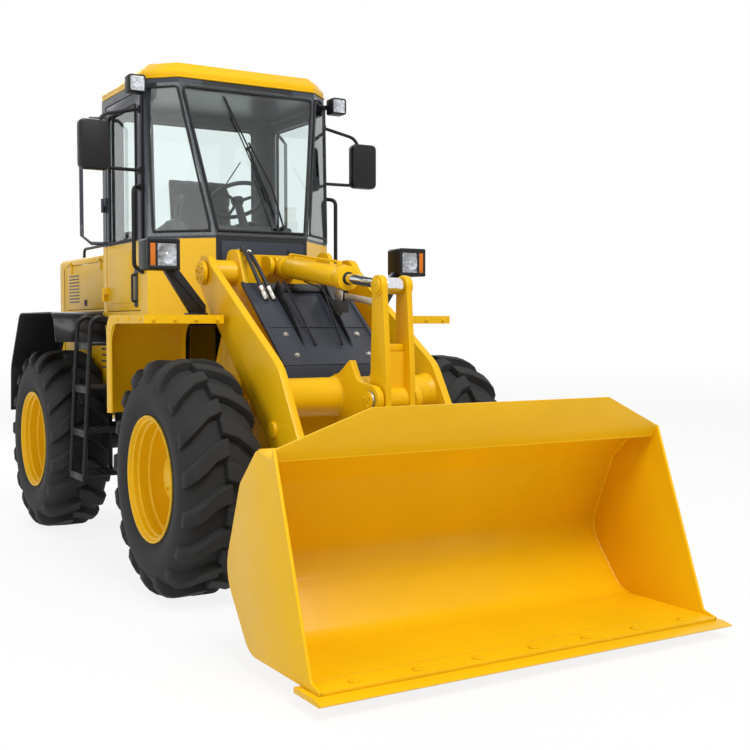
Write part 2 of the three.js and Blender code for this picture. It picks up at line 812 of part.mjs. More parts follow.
const cornerTopY = CAB_CORNER_Y + CAB_CORNER_LEAN;
const cornerSlope = (CAB_CORNER_Y - CAB_FRONT_Y) / (CAB_HALF - CAB_NOSE_HALF);
const browY = cornerTopY - (CAB_HALF - CAB_BROW_HALF) * cornerSlope;

// One of the cab's level outlines, `high` from 0 at the waist to 1 at the eaves, `inset` inwards.
function cabOutline(high, inset) {
  const nose = CAB_NOSE_HALF + (CAB_BROW_HALF - CAB_NOSE_HALF) * high - 0.42 * inset;
  const front = CAB_FRONT_Y + (browY - CAB_FRONT_Y) * high + inset;
  const corner = CAB_CORNER_Y + CAB_CORNER_LEAN * high + 0.42 * inset;
  const side = CAB_HALF - inset;
  const back = CAB_REAR_Y - inset;
  return [[nose, front], [side, corner], [side, back], [-side, back], [-side, corner], [-nose, front]];
}

const level = (corners, z) => corners.map(([x, y]) => [x, y, z]);

function cabBlock(inset, lowZ, topZ) {
  const high = (topZ - CAB_WAIST_Z) / (CAB_EAVES_Z - CAB_WAIST_Z);
  return join(
    hull([...level(cabOutline(0, inset), lowZ), ...level(cabOutline(0, inset), CAB_WAIST_Z)]),
    hull([...level(cabOutline(0, inset), CAB_WAIST_Z), ...level(cabOutline(high, inset), topZ)]),
  );
}

// The corners of a front pane: the wall between two upright edges of the cab, less a margin at each.
function paneCorners([edgeA, marginA], [edgeB, marginB], [z0, z1]) {
  const at = (z) => {
    const high = (z - CAB_WAIST_Z) / (CAB_EAVES_Z - CAB_WAIST_Z);
    const [a, b] = [edgeA, edgeB].map((i) => new THREE.Vector3(...cabOutline(high, 0)[i], z));
    const along = b.clone().sub(a).normalize();
    return [
      a.addScaledVector(along, marginA).toArray(),
      b.addScaledVector(along, -marginB).toArray(),
    ];
  };
  const [lowA, lowB] = at(z0);
  const [topA, topB] = at(z1);
  return [lowA, lowB, topB, topA];
}

const DOOR_POST = 45; // width of wall between a corner pane and the door side
const FRONT_POST = 14; // and on each side of the slim posts behind the front joints
const PANE_Z = [CAB_WAIST_Z + 50, CAB_EAVES_Z - 60];
const frontPane = paneCorners([5, FRONT_POST], [0, FRONT_POST], PANE_Z);
const cornerPane = paneCorners([0, FRONT_POST], [1, DOOR_POST], PANE_Z);
const REAR_PANE = [
  [-520, 2190, 40],
  [520, 2190, 40],
  [520, 3040, 40],
  [-520, 3040, 40],
];
const hingeLevels = [1760, 2400, 2960];

// The seat's plinth stands on the cab floor.
const seatBase = () =>
  join(
    box([-200, 200], [520, 900], [CAB_FLOOR_Z + CAB_WALL - 5, 1980]),
    box([-240, 240], [480, 1010], [1975, 2010]),
    box([-120, 120], [945, 1010], [2005, 2060]),
  );

function cabShell() {
  const room = cabBlock(CAB_WALL, CAB_FLOOR_Z + CAB_WALL, CAB_EAVES_Z - CAB_WALL);
  const doorway = box(
    [CAB_HALF - 60, CAB_HALF + 20],
    [DOOR_FRONT_Y - DOOR_GAP, DOOR_REAR_Y + DOOR_GAP],
    [DOOR_LOW_Z - DOOR_GAP, DOOR_TOP_Z + DOOR_GAP],
  );
  const rearHole = crossPlate(REAR_PANE, [CAB_REAR_Y - 60, CAB_REAR_Y + 20]);
  const knuckles = hingeLevels.map((z) =>
    knuckle(DOOR_HINGE, [z - 50, z - RUN_GAP], [CAB_HALF - 5, [DOOR_HINGE[1] - 8, DOOR_HINGE[1] + 8]]),
  );
  const rearRail = pipe(
    [
      [CAB_HALF - 8, CAB_REAR_Y - 20, 2130],
      [CAB_HALF + 120, CAB_REAR_Y + 10, 2135],
      [CAB_HALF + 150, CAB_REAR_Y + 20, 2180],
      [CAB_HALF + 150, CAB_REAR_Y + 20, 2980],
      [CAB_HALF + 120, CAB_REAR_Y + 10, 3025],
      [CAB_HALF - 8, CAB_REAR_Y - 20, 3030],
    ],
    14,
    12,
  );
  const shell = cut(
    cabBlock(0, CAB_FLOOR_Z, CAB_EAVES_Z),
    room,
    paneBlock(frontPane, 160),
    onBothSides(paneBlock(cornerPane, 120)),
    onBothSides(doorway),
    rearHole,
  );
  return join(shell, seatBase(), onBothSides(join(knuckles, rearRail)));
}

// Bonded glass over the front: the cab's own shape a little larger, over the pane openings only.
function windshield() {
  const skin = (out) => cabBlock(-out, CAB_FLOOR_Z, CAB_EAVES_Z);
  const around = box(
    [-CAB_HALF, CAB_HALF],
    [CAB_FRONT_Y - 50, CAB_CORNER_Y - 4],
    [PANE_Z[0] - 30, PANE_Z[1] + 30],
  );
  return cut(skin(SEAT_GAP + GLASS_THICK), skin(SEAT_GAP)).intersect(around);
}

function rearWindow() {
  const smaller = REAR_PANE.map(([x, z, r]) => {
    const inwards = (v, middle) => v - Math.sign(v - middle) * SEAT_GAP;
    return [inwards(x, 0), inwards(z, 2600), r];
  });
  const middleY = CAB_REAR_Y - CAB_WALL / 2;
  return crossPlate(smaller, [middleY - GLASS_THICK / 2, middleY + GLASS_THICK / 2]);
}

const DOOR_PANE = [
  [DOOR_FRONT_Y + 70, 2120, 40],
  [DOOR_REAR_Y - 70, 2120, 40],
  [DOOR_REAR_Y - 70, DOOR_TOP_Z - 70, 40],
  [DOOR_FRONT_Y + 70, DOOR_TOP_Z - 70, 40],
];
const doorX = [CAB_HALF - CAB_WALL + 2, CAB_HALF - 2];

function cabDoor() {
  const panel = box(doorX, [DOOR_FRONT_Y, DOOR_REAR_Y], [DOOR_LOW_Z, DOOR_TOP_Z]);
  const hole = sidePlate(DOOR_PANE, [doorX[0] - 10, doorX[1] + 10]);
  const leaves = hingeLevels.map((z) =>
    join(
      box([doorX[1] - 5, DOOR_HINGE[0]], [DOOR_REAR_Y - 32, DOOR_REAR_Y - 18], [z, z + 50]),
      box([DOOR_HINGE[0] - 8, DOOR_HINGE[0]], [DOOR_REAR_Y - 32, DOOR_HINGE[1]], [z, z + 50]),
      bar([...DOOR_HINGE, z], [...DOOR_HINGE, z + 50], 13, 12),
    ),
  );
  return join(cut(panel, hole), leaves);
}

function doorGlass() {
  const middleZ = (DOOR_PANE[0][1] + DOOR_PANE[2][1]) / 2;
  const middleY = (DOOR_FRONT_Y + DOOR_REAR_Y) / 2;
  const smaller = DOOR_PANE.map(([y, z, r]) => [
    y - Math.sign(y - middleY) * SEAT_GAP,
    z - Math.sign(z - middleZ) * SEAT_GAP,
    r,
  ]);
  const x = (doorX[0] + doorX[1]) / 2;
  return sidePlate(smaller, [x - GLASS_THICK / 2, x + GLASS_THICK / 2]);
}

function cabRoof() {
  const low = CAB_EAVES_Z + SEAT_GAP;
  const brim = hull([
    ...level(cabOutline(1, 4), low),
    ...level(cabOutline(1, 0), low + 45),
    ...level(cabOutline(1, 50), CAB_ROOF_Z - 12),
  ]);
  const hump = hull([
    ...level([[-300, 420], [300, 420], [300, 900], [-300, 900]], CAB_ROOF_Z - 20),
    ...level([[-260, 460], [260, 460], [260, 860], [-260, 860]], CAB_ROOF_Z),
  ]);
  return join(brim, hump);
}

// Outwards from the cab's side: [how far out, y, z] for the grab rail and the mirror's arm.
const GRAB_RAIL = [
  [16, 415, 1910],
  [70, 360, 1915],
  [82, 350, 1960],
  [82, 350, 2400],
  [70, 360, 2445],
  [16, 415, 2450],
];
const MIRROR_ARM = [
  [16, 415, 2560],
  [230, 400, 2560],
  [315, 392, 2600],
  [330, 390, 2700],
  [315, 392, 2850],
  [230, 400, 2905],
  [16, 415, 2960],
];

function mirrorAndLamp() {
  const out = (points) => points.map(([x, y, z]) => [CAB_HALF + x, y, z]);
  const block = ([x0, x1], y, z) => box([CAB_HALF + x0, CAB_HALF + x1], y, z);
  return join(
    block([SEAT_GAP, 14], [390, 440], [1880, 3120]),
    pipe(out(GRAB_RAIL), 14, 12),
    pipe(out(MIRROR_ARM), 12, 14),
    block([230, 430], [355, 425], [2540, 2860]),
    block([8, 46], [360, 410], [3080, 3120]),
    block([16, 130], [270, 370], [3042, 3156]),
  );
}

const seatCushion = () => box([-245, 245], [465, 930], [2010 + SEAT_GAP, 2120]);

const seatBackrest = () =>
  sidePlate(
    [
      [930 + SEAT_GAP, 2060 + SEAT_GAP],
      [1040, 2060 + SEAT_GAP],
      [1110, 2620, 40],
      [1010, 2620, 40],
    ],
    [-240, 240],
  );

function steeringColumn() {
  const pedestal = hull([
    ...level([[-110, 90], [110, 90], [110, 250], [-110, 250]], CAB_FLOOR_Z + CAB_WALL + SEAT_GAP),
    ...level([[-80, 150], [80, 150], [80, 260], [-80, 260]], 2150),
  ]);
  const hub = [0, 395, 2400];
  const shaft = bar([0, 205, 2100], hub, 28, 10);
  const ring = new THREE.TorusGeometry(190, 13, 6, 20);
  const tilt = new THREE.Vector3(0, 190, 300).normalize();
  const facing = new THREE.Quaternion().setFromUnitVectors(new THREE.Vector3(0, 0, 1), tilt);
  ring.applyQuaternion(facing).translate(...hub);
  const spokes = [90, 210, 330].map((degrees) => {
    const angle = THREE.MathUtils.degToRad(degrees);
    const tip = new THREE.Vector3(190 * Math.cos(angle), 190 * Math.sin(angle), 0);
    tip.applyQuaternion(facing).add(new THREE.Vector3(...hub));
    return bar(hub, tip.toArray(), 9, 6);
  });
  return join(pedestal, shaft, solid(ring), spokes);
}

function addCab() {
  add("cab_shell", cabShell(), YELLOW());
  add("cab_roof", cabRoof(), YELLOW());
  add("windshield", windshield(), GLASS());
  add("rear_window", rearWindow(), GLASS());
  addPair("cab_door", cabDoor(), YELLOW);
  addPair("door_glass", doorGlass(), GLASS);
  addPair("mirror_and_lamp", mirrorAndLamp(), BLACK);
  add("seat_cushion", seatCushion(), BLACK());
  add("seat_backrest", seatBackrest(), BLACK());
  add("steering_column", steeringColumn(), BLACK());
}

// ---------------------------------------------------------------- cylinders

const GLAND = 40; // length of the gland head inside the barrel's mouth
const BARREL_WALL = 9;
const PISTON = 25;

// The barrel and rod of a hydraulic cylinder between its foot pin and its eye. `across` is the
// direction of its pins; the piston's back face stands `rodEnd` from the foot.
function cylinder({ foot, eye, across, barrelR, barrelLength, rodR, rodEnd, half, pinR }) {
  const a = new THREE.Vector3(...foot);
  const along = new THREE.Vector3(...eye).sub(a).normalize();
  const side = new THREE.Vector3(...across).setLength(half);
  const at = (distance) => a.clone().addScaledVector(along, distance).toArray();
  const eyeAt = (centre, radius) => {
    const c = new THREE.Vector3(...centre);
    return bar(c.clone().sub(side).toArray(), c.clone().add(side).toArray(), radius, 12);
  };
  const boreR = barrelR - BARREL_WALL;
  const footR = pinR + 22;
  const tube = join(bar(at(footR - 12), at(barrelLength), barrelR, 12), eyeAt(foot, footR));
  const barrel = cut(
    tube,
    bar(at(footR + 30), at(barrelLength - GLAND), boreR, 12),
    bar(at(footR + 30), at(barrelLength + 10), rodR + RUN_GAP, 12),
    bore(
      a.clone().addScaledVector(side, -1.2).toArray(),
      a.clone().addScaledVector(side, 1.2).toArray(),
      pinR,
    ),
  );
  const rod = join(bar(at(rodEnd), eye, rodR, 12), eyeAt(eye, rodR + 16));
  const piston = bar(at(rodEnd), at(rodEnd + PISTON), boreR - SEAT_GAP, 12);
  return { barrel, rod: join(rod, piston), boreR, at };
}

function addCylinders() {
  const lift = cylinder({
    foot: [LIFT_X, ...LIFT_FOOT],
    eye: [LIFT_X, ...LIFT_EYE],
    across: [1, 0, 0],
    barrelR: LIFT_BARREL_R,
    barrelLength: LIFT_BARREL_LENGTH,
    rodR: LIFT_ROD_R,
    rodEnd: 110,
    half: 38,
    pinR: 32,
  });
  addPair("lift_barrel", lift.barrel, YELLOW);
  addPair("lift_rod", lift.rod, CHROME);
  const tilt = cylinder({
    foot: [0, ...TILT_FOOT],
    eye: [0, ...CRANK_TOP],
    across: [1, 0, 0],
    barrelR: TILT_BARREL_R,
    barrelLength: TILT_BARREL_LENGTH,
    rodR: TILT_ROD_R,
    rodEnd: TILT_ROD_END_AT,
    half: 52,
    pinR: PIN_R,
  });
  add("tilt_barrel", tilt.barrel, YELLOW());
  add("tilt_rod", tilt.rod, CHROME());
  const [from, to] = [TILT_PISTON_AT, TILT_PISTON_AT + PISTON].map(tilt.at);
  add("tilt_piston", bar(from, to, tilt.boreR - SEAT_GAP, 12), STEEL());
  const steer = cylinder({
    foot: [...STEER_FOOT, STEER_Z],
    eye: [...STEER_EYE, STEER_Z],
    across: [0, 0, 1],
    barrelR: STEER_BARREL_R,
    barrelLength: STEER_BARREL_LENGTH,
    rodR: STEER_ROD_R,
    rodEnd: 262,
    half: 28,
    pinR: 16,
  });
  addPair("steering_barrel", steer.barrel, BLACK);
  addPair("steering_rod", steer.rod, CHROME);
}

// ---------------------------------------------------------------- arms, crank and bucket

function boom() {
  const arm = join(
    sidePlate(
      [
        [-215, 1990, 70],
        [-330, 1938],
        [-1311, 1316, 60],
        [-1538, 956, 60],
        [-1944, 405],
        [-1776, 315],
        [-1225, 868, 90],
        [-190, 1800, 70],
      ],
      [armInner, armOuter],
    ),
    crossBar(ARM_PIVOT, [armInner, armOuter], 108, 20),
    crossBar(BUCKET_PIVOT, [armInner, armOuter], 95, 20),
    crossBar(LIFT_EYE, [LIFT_X + 38 + SIDE_GAP, armInner + 2], 48),
    crossBar([CROSS_TUBE[0] - 20, 970], [armOuter - 2, armOuter + 16], 46),
  );
  const pinHoles = join(
    crossBore(ARM_PIVOT, [armInner - 10, armOuter + 10], 50),
    crossBore(BUCKET_PIVOT, [armInner - 10, armOuter + 10], PIN_R),
  );
  const half = CRANK_BRACKET / 2;
  const bracketX = [CRANK_BRACKET_X - half, CRANK_BRACKET_X + half];
  const bracket = join(
    sidePlate(
      [
        [-1190, 1150],
        [-1230, 1262, 20],
        [-1300, 1272, 30],
        [-1425, 1352, 12],
        [-1500, 1235, 40],
        [CRANK_PIVOT[0] - 20, CRANK_PIVOT[1] + 76],
        [CRANK_PIVOT[0] - 20, CRANK_PIVOT[1] - 76],
        [-1420, 1040, 60],
        [-1240, 1000],
      ],
      bracketX,
    ),
    crossBar(CRANK_PIVOT, bracketX, 80),
  );
  const crankHole = crossBore(CRANK_PIVOT, [bracketX[0] - 10, bracketX[1] + 10], PIN_R);
  return join(
    onBothSides(cut(arm, pinHoles)),
    crossBar(CROSS_TUBE, [-armInner - 2, armInner + 2], CROSS_TUBE_R, 20),
    onBothSides(cut(bracket, crankHole)),
  );
}

const crankHalf = CRANK_PLATE / 2;
const crankX = [CRANK_PLATE_X - crankHalf, CRANK_PLATE_X + crankHalf];

function bellCrank() {
  const [pivotY, pivotZ] = CRANK_PIVOT;
  const plate = join(
    sidePlate(
      [
        [CRANK_TOP[0] + 52, CRANK_TOP[1]],
        [CRANK_TOP[0] - 52, CRANK_TOP[1]],
        [pivotY - 78, pivotZ + 160, 60],
        [pivotY - 84, pivotZ - 100, 60],
        [CRANK_FOOT[0] - 60, CRANK_FOOT[1]],
        [CRANK_FOOT[0] + 60, CRANK_FOOT[1]],
        [pivotY + 84, pivotZ - 100, 60],
        [pivotY + 80, pivotZ + 160, 60],
      ],
      crankX,
    ),
    crossBar(CRANK_TOP, crankX, 58),
    crossBar(CRANK_TOP, [crankX[1] - 2, crankX[1] + 14], 42),
    crossBar(CRANK_FOOT, crankX, 64),
  );
  const barrel = crossBar(CRANK_PIVOT, [-crankX[0] - 2, crankX[0] + 2], 68);
  const web = box([-crankX[0] - 2, crankX[0] + 2], [pivotY - 15, pivotY + 15], [pivotZ + 60, pivotZ + 260]);
  const holes = [CRANK_PIVOT, CRANK_FOOT].map((at) => crossBore(at, [-120, 120], PIN_R));
  return cut(join(onBothSides(plate), barrel, web), holes);
}

function headedPin(at, reach) {
  const head = crossBar(at, [reach, reach + 12], PIN_R + 16);
  return join(crossBar(at, [-reach - 5, reach + 5], PIN_R), onBothSides(head));
}

function bucketLink() {
  const half = crankX[0] - SIDE_GAP;
  const body = sidePlate(
    [
      [CRANK_FOOT[0], CRANK_FOOT[1] - 38],
      [CRANK_FOOT[0], CRANK_FOOT[1] + 38],
      [BUCKET_LUG[0], BUCKET_LUG[1] + 38],
      [BUCKET_LUG[0], BUCKET_LUG[1] - 38],
    ],
    [-36, 36],
  );
  const eyes = join(crossBar(CRANK_FOOT, [-half, half], 54), crossBar(BUCKET_LUG, [-half, half], 50));
  return cut(join(body, eyes), crossBore(CRANK_FOOT, [-half - 10, half + 10], PIN_R));
}

const earInner = [armInner - SIDE_GAP - 23, armInner - SIDE_GAP];
const earOuter = [armOuter + SIDE_GAP, armOuter + SIDE_GAP + 23];

function bucketPin() {
  const [low, high] = [earInner[0] - 3, earOuter[1] + 3];
  return join(
    crossBar(BUCKET_PIVOT, [low - 8, high + 8], PIN_R),
    crossBar(BUCKET_PIVOT, [low - 12, low], PIN_R + 16),
    crossBar(BUCKET_PIVOT, [high, high + 12], PIN_R + 16),
  );
}

const bucketOuter = [
  [-2905, FLOOR_Z],
  [-2240, FLOOR_Z, 150],
  [-1975, 400, 190],
  [-2150, 830, 90],
  [-2330, 1000, 50],
  [-2470, 972],
];
const bucketInner = [
  [-2466, 972 - BUCKET_WALL],
  [-2335, 981, 44],
  [-2168, 824, 84],
  [-1993, 402, 176],
  [-2246, FLOOR_Z + BUCKET_WALL, 138],
  [-2905, FLOOR_Z + BUCKET_WALL],
];
const bucketBrim = [-2591, 1184];
const BRIM_HALF = 685;

function bucket() {
  const shell = sidePlate([...bucketOuter, ...bucketInner], [-BUCKET_HALF, BUCKET_HALF]);
  const cheek = sidePlate(
    [
      ...bucketOuter,
      [-2493, 1020],
      [-2825, 112, 20],
      [-2905, FLOOR_Z + BUCKET_WALL],
    ],
    [BUCKET_HALF - BUCKET_WALL, BUCKET_HALF],
  );
  const guard = hull(
    [0, BUCKET_WALL].flatMap((back) => [
      [-1108, -2468 + back, 957],
      [1108, -2468 + back, 957],
      [1108, -2500 + back, 1016],
      [-1108, -2500 + back, 1016],
      [BRIM_HALF, bucketBrim[0] + back, bucketBrim[1]],
      [-BRIM_HALF, bucketBrim[0] + back, bucketBrim[1]],
    ]),
  );
  const ear = (x) =>
    join(
      sidePlate(
        [
          [BUCKET_PIVOT[0] + 40, BUCKET_PIVOT[1] + 66],
          [BUCKET_PIVOT[0] + 40, BUCKET_PIVOT[1] - 66],
          [-2130, 130],
          [-2070, 640],
        ],
        x,
      ),
      crossBar(BUCKET_PIVOT, x, 80),
    );
  const lug = join(
    sidePlate(
      [
        [BUCKET_LUG[0] + 20, BUCKET_LUG[1] + 56],
        [BUCKET_LUG[0] + 20, BUCKET_LUG[1] - 56],
        [-2040, 380],
        [-2160, 800],
      ],
      [crankX[0] - 2, crankX[0] + 24],
    ),
    crossBar(BUCKET_LUG, [crankX[0] - 2, crankX[0] + 24], 60),
    crossBar(BUCKET_LUG, [crankX[0] + 22, crankX[0] + 36], 42),
  );
  const inside = sidePlate(
    [...bucketInner, [-2905, 972 - BUCKET_WALL]],
    [-BUCKET_HALF + BUCKET_WALL, BUCKET_HALF - BUCKET_WALL],
  );
  const holes = crossBore(BUCKET_PIVOT, [earInner[0] - 10, earOuter[1] + 10], PIN_R);
  const ears = onBothSides(cut(join(ear(earInner), ear(earOuter), lug), inside, holes));
  return join(shell, onBothSides(cheek), guard, ears);
}

function cuttingEdge() {
  const under = FLOOR_Z - SEAT_GAP;
  return sidePlate(
    [
      [EDGE_TIP_Y, under - 12],
      [EDGE_TIP_Y + 60, under],
      [-2740, under],
      [-2740, under - 25],
      [EDGE_TIP_Y + 20, under - 25],
    ],
    [-EDGE_HALF, EDGE_HALF],
  );
}

function addArms() {
  add("boom", boom(), YELLOW());
  add("crank_pin", headedPin(CRANK_PIVOT, CRANK_BRACKET_X + CRANK_BRACKET / 2 + 3), STEEL());
  add("bell_crank", bellCrank(), YELLOW());
  add("link_pin", headedPin(CRANK_FOOT, crankX[1] + 3), STEEL());
  add("bucket_link", bucketLink(), YELLOW());
  addPair("bucket_pin", bucketPin(), STEEL);
  add("bucket", bucket(), YELLOW());
  add("cutting_edge", cuttingEdge(), STEEL());
}

addWheels();
addFrontHalf();
addRearHalf();
addCab();
addCylinders();
addArms();

export default loader;
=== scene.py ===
"""Looks of an articulated wheel loader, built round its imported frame.

Metres, +Z up, the bucket towards -Y and the machine's own left side towards +X. Each class
below dresses one sub-assembly; main() builds them in order.
"""

from __future__ import annotations

import json
import logging
import math
from dataclasses import dataclass, field
from enum import Enum
from typing import Callable, Iterable, Sequence

import bpy
from mathutils import Matrix, Vector

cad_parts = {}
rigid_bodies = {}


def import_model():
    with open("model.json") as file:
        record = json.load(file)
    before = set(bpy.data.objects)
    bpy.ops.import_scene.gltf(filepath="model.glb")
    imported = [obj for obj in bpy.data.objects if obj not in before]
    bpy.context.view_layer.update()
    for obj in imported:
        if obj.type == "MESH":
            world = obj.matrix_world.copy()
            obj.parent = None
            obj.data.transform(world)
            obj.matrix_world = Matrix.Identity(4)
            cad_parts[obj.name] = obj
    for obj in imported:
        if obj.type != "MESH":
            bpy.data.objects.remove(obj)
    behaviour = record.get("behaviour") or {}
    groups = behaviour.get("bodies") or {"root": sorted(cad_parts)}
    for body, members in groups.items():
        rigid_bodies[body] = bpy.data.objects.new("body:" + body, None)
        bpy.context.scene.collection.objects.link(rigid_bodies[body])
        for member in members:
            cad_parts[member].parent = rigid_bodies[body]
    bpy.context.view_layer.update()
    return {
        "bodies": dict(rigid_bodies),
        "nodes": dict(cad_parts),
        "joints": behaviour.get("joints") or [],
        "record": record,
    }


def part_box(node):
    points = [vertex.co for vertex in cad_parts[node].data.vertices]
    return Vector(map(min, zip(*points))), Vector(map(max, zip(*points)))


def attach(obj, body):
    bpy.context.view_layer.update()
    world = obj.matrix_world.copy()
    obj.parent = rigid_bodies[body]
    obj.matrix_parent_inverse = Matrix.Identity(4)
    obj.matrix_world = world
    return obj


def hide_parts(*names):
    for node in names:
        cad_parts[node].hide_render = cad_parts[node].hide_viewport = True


log = logging.getLogger("loader")

Piece = bpy.types.Object
Socket = bpy.types.NodeSocket
Point = tuple[float, float, float]
Corner = tuple[float, ...]  # (u, v) or (u, v, radius) of an outline
SMOOTH = math.radians(35)  # faces that meet more flatly than this shade as one
SIDES = (("left", 1.0), ("right", -1.0))


class Axis(Enum):
    """The direction that an outline is drawn across."""

    X = 0
    Y = 1
    Z = 2


# ---------------------------------------------------------------- finishes


class Nodes:
    """A node tree, with short calls for the nodes that the looks use."""

    def __init__(self, tree: bpy.types.NodeTree) -> None:
        """Take over the tree of a material or a world."""
        self.tree = tree

    def node(self, kind: str, **settings: object) -> bpy.types.Node:
        """Add a node.

        Args:
            kind: the node's type, without its ShaderNode prefix.
            settings: its properties.

        Returns:
            The node.
        """
        made = self.tree.nodes.new("ShaderNode" + kind)
        for key, value in settings.items():
            setattr(made, key, value)
        return made

    def link(self, source: Socket, target: Socket) -> None:
        """Join an output to an input."""
        self.tree.links.new(source, target)

    def fill(self, target: Socket, value: Socket | float | Point) -> None:
        """Give an input its value.

        Args:
            target: the input.
            value: an output to join to it, a number, or a colour.
        """
        if isinstance(value, bpy.types.NodeSocket):
            self.link(value, target)
        else:
            target.default_value = (*value, 1.0) if isinstance(value, tuple) else value

    def math(self, operation: str, *values: Socket | float) -> Socket:
        """Calculate with outputs and numbers.

        Args:
            operation: the operation's name.
            values: what it works on.

        Returns:
            The result.
        """
        made = self.node("Math", operation=operation)
        for target, value in zip(made.inputs, values):
            self.fill(target, value)
        return made.outputs["Value"]

    def place(self) -> Socket:
        """The surface point's own coordinates."""
        return self.node("TexCoord").outputs["Object"]

    def mixed(self, factor: Socket, base: Socket, other: Socket) -> Socket:
        """A mix of two shaders.

        Args:
            factor: how much of the other shows.
            base: the first shader.
            other: the other one.

        Returns:
            The mixed shader.
        """
        mix = self.node("MixShader")
        for target, source in zip(mix.inputs, (factor, base, other)):
            self.link(source, target)
        return mix.outputs["Shader"]

    def seen(self) -> Socket:
        """1 for what the camera, a mirror or glass sees, and 0 for light on the machine.

        Returns:
            The factor.
        """
        rays = self.node("LightPath").outputs
        direct = self.math("MAXIMUM", rays["Is Camera Ray"], rays["Is Glossy Ray"])
        return self.math("MAXIMUM", direct, rays["Is Transmission Ray"])


class Shader(Nodes):
    """A material's nodes round one Principled shader."""

    def __init__(self, name: str) -> None:
        """Start a material.

        Args:
            name: the material's name.
        """
        self.material = bpy.data.materials.new(name)
        self.material.use_nodes = True
        super().__init__(self.material.node_tree)
        self.surface = self.tree.nodes["Principled BSDF"]

    def set(self, **values: object) -> None:
        """Set constants on the shader's own sockets, with _ for a space in their names."""
        for key, value in values.items():
            self.surface.inputs[key.replace("_", " ")].default_value = value

    def paint(self, source: Socket) -> None:
        """Let an output be the surface's colour."""
        self.link(source, self.surface.inputs["Base Color"])

    def choice(self, factor: Socket, low: Socket | Point, high: Point) -> Socket:
        """One of two colours.

        Args:
            factor: 0 for the first, 1 for the second.
            low: the first colour.
            high: the second.

        Returns:
            The chosen colour.
        """
        mix = self.node("MixRGB")
        for target, value in zip(mix.inputs, (factor, low, high)):
            self.fill(target, value)
        return mix.outputs["Color"]

    def texture(self, kind: str, scale: float, **settings: object) -> bpy.types.Node:
        """A pattern over the piece's own place.

        Args:
            kind: the texture's type.
            scale: how many times it repeats in a metre.
            settings: its properties.

        Returns:
            Its node.
        """
        made = self.node("Tex" + kind, **settings)
        made.inputs["Scale"].default_value = scale
        self.link(self.place(), made.inputs["Vector"])
        return made

    def noise(self, scale: float, detail: float = 3.0) -> Socket:
        """A noise over the piece's own place.

        Args:
            scale: how many times it repeats in a metre.
            detail: its octaves.

        Returns:
            Its factor.
        """
        noise = self.texture("Noise", scale)
        noise.inputs["Detail"].default_value = detail
        return noise.outputs["Fac"]

    def ramp(
        self, source: Socket, low: Point, high: Point, span: tuple[float, float] = (0.35, 0.65)
    ) -> Socket:
        """A blend of two colours.

        Args:
            source: the factor.
            low: the colour below the span.
            high: the colour above it.
            span: the factors where the blend starts and ends.

        Returns:
            The blended colour.
        """
        ramp = self.node("ValToRGB")
        for stop, place, colour in zip(ramp.color_ramp.elements, span, (low, high)):
            stop.position = place
            stop.color = (*colour, 1.0)
        self.link(source, ramp.inputs["Fac"])
        return ramp.outputs["Color"]

    def roughen(self, source: Socket, low: float, high: float) -> None:
        """Let a factor vary the roughness.

        Args:
            source: the factor.
            low: the roughness where it is 0.
            high: the roughness where it is 1.
        """
        spread = self.node("MapRange")
        spread.inputs["To Min"].default_value = low
        spread.inputs["To Max"].default_value = high
        self.link(source, spread.inputs["Value"])
        self.link(spread.outputs["Result"], self.surface.inputs["Roughness"])

    def bump(self, source: Socket, depth: float, strength: float = 0.5) -> None:
        """Let a factor raise the surface.

        Args:
            source: the height factor.
            depth: its depth in metres.
            strength: how much of it shows.
        """
        bump = self.node("Bump")
        bump.inputs["Strength"].default_value = strength
        bump.inputs["Distance"].default_value = depth
        self.link(source, bump.inputs["Height"])
        self.link(bump.outputs["Normal"], self.surface.inputs["Normal"])


def shade(colour: Point, amount: float) -> Point:
    """A colour with each channel multiplied by an amount."""
    return tuple(min(1.0, channel * amount) for channel in colour)


@dataclass(frozen=True)
class Enamel:
    """Sprayed machine paint: even, a little mottled, with a fine orange peel."""

    name: str
    colour: Point
    roughness: float = 0.38
    coat: float = 0.05
    mottle: float = 0.94

    def material(self) -> bpy.types.Material:
        """The finish as a material.

        Returns:
            The material.
        """
        shader = Shader(self.name)
        shader.paint(shader.ramp(shader.noise(2.2, 4), shade(self.colour, self.mottle), self.colour))
        shader.roughen(shader.noise(9.0, 3), self.roughness * 0.8, self.roughness * 1.25)
        shader.bump(shader.noise(260.0, 1), 0.0004, 0.25)
        shader.set(Coat_Weight=self.coat, Coat_Roughness=0.12, Specular_IOR_Level=0.2)
        return shader.material


@dataclass(frozen=True)
class BandedEnamel:
    """Paint that changes colour at a level, with an inner lining of a third colour."""

    name: str
    below: Point
    above: Point
    level: float
    lining: Point
    lining_half: float
    lining_ends: tuple[float, float]

    def material(self) -> bpy.types.Material:
        """The finish as a material.

        Returns:
            The material.
        """
        shader = Shader(self.name)
        split = shader.node("SeparateXYZ")
        shader.link(shader.place(), split.inputs["Vector"])
        x, y, z = (split.outputs[axis] for axis in "XYZ")
        middle = shader.math("LESS_THAN", shader.math("ABSOLUTE", x), self.lining_half)
        ahead = shader.math("GREATER_THAN", y, self.lining_ends[0])
        behind = shader.math("LESS_THAN", y, self.lining_ends[1])
        inside = shader.math("MULTIPLY", shader.math("MULTIPLY", middle, ahead), behind)
        outer = shader.choice(shader.math("GREATER_THAN", z, self.level), self.below, self.above)
        shader.paint(shader.choice(inside, outer, self.lining))
        shader.roughen(shader.noise(9.0, 3), 0.26, 0.4)
        shader.bump(shader.noise(260.0, 1), 0.0004, 0.25)
        shader.set(Coat_Weight=0.08, Coat_Roughness=0.12, Specular_IOR_Level=0.3)
        return shader.material


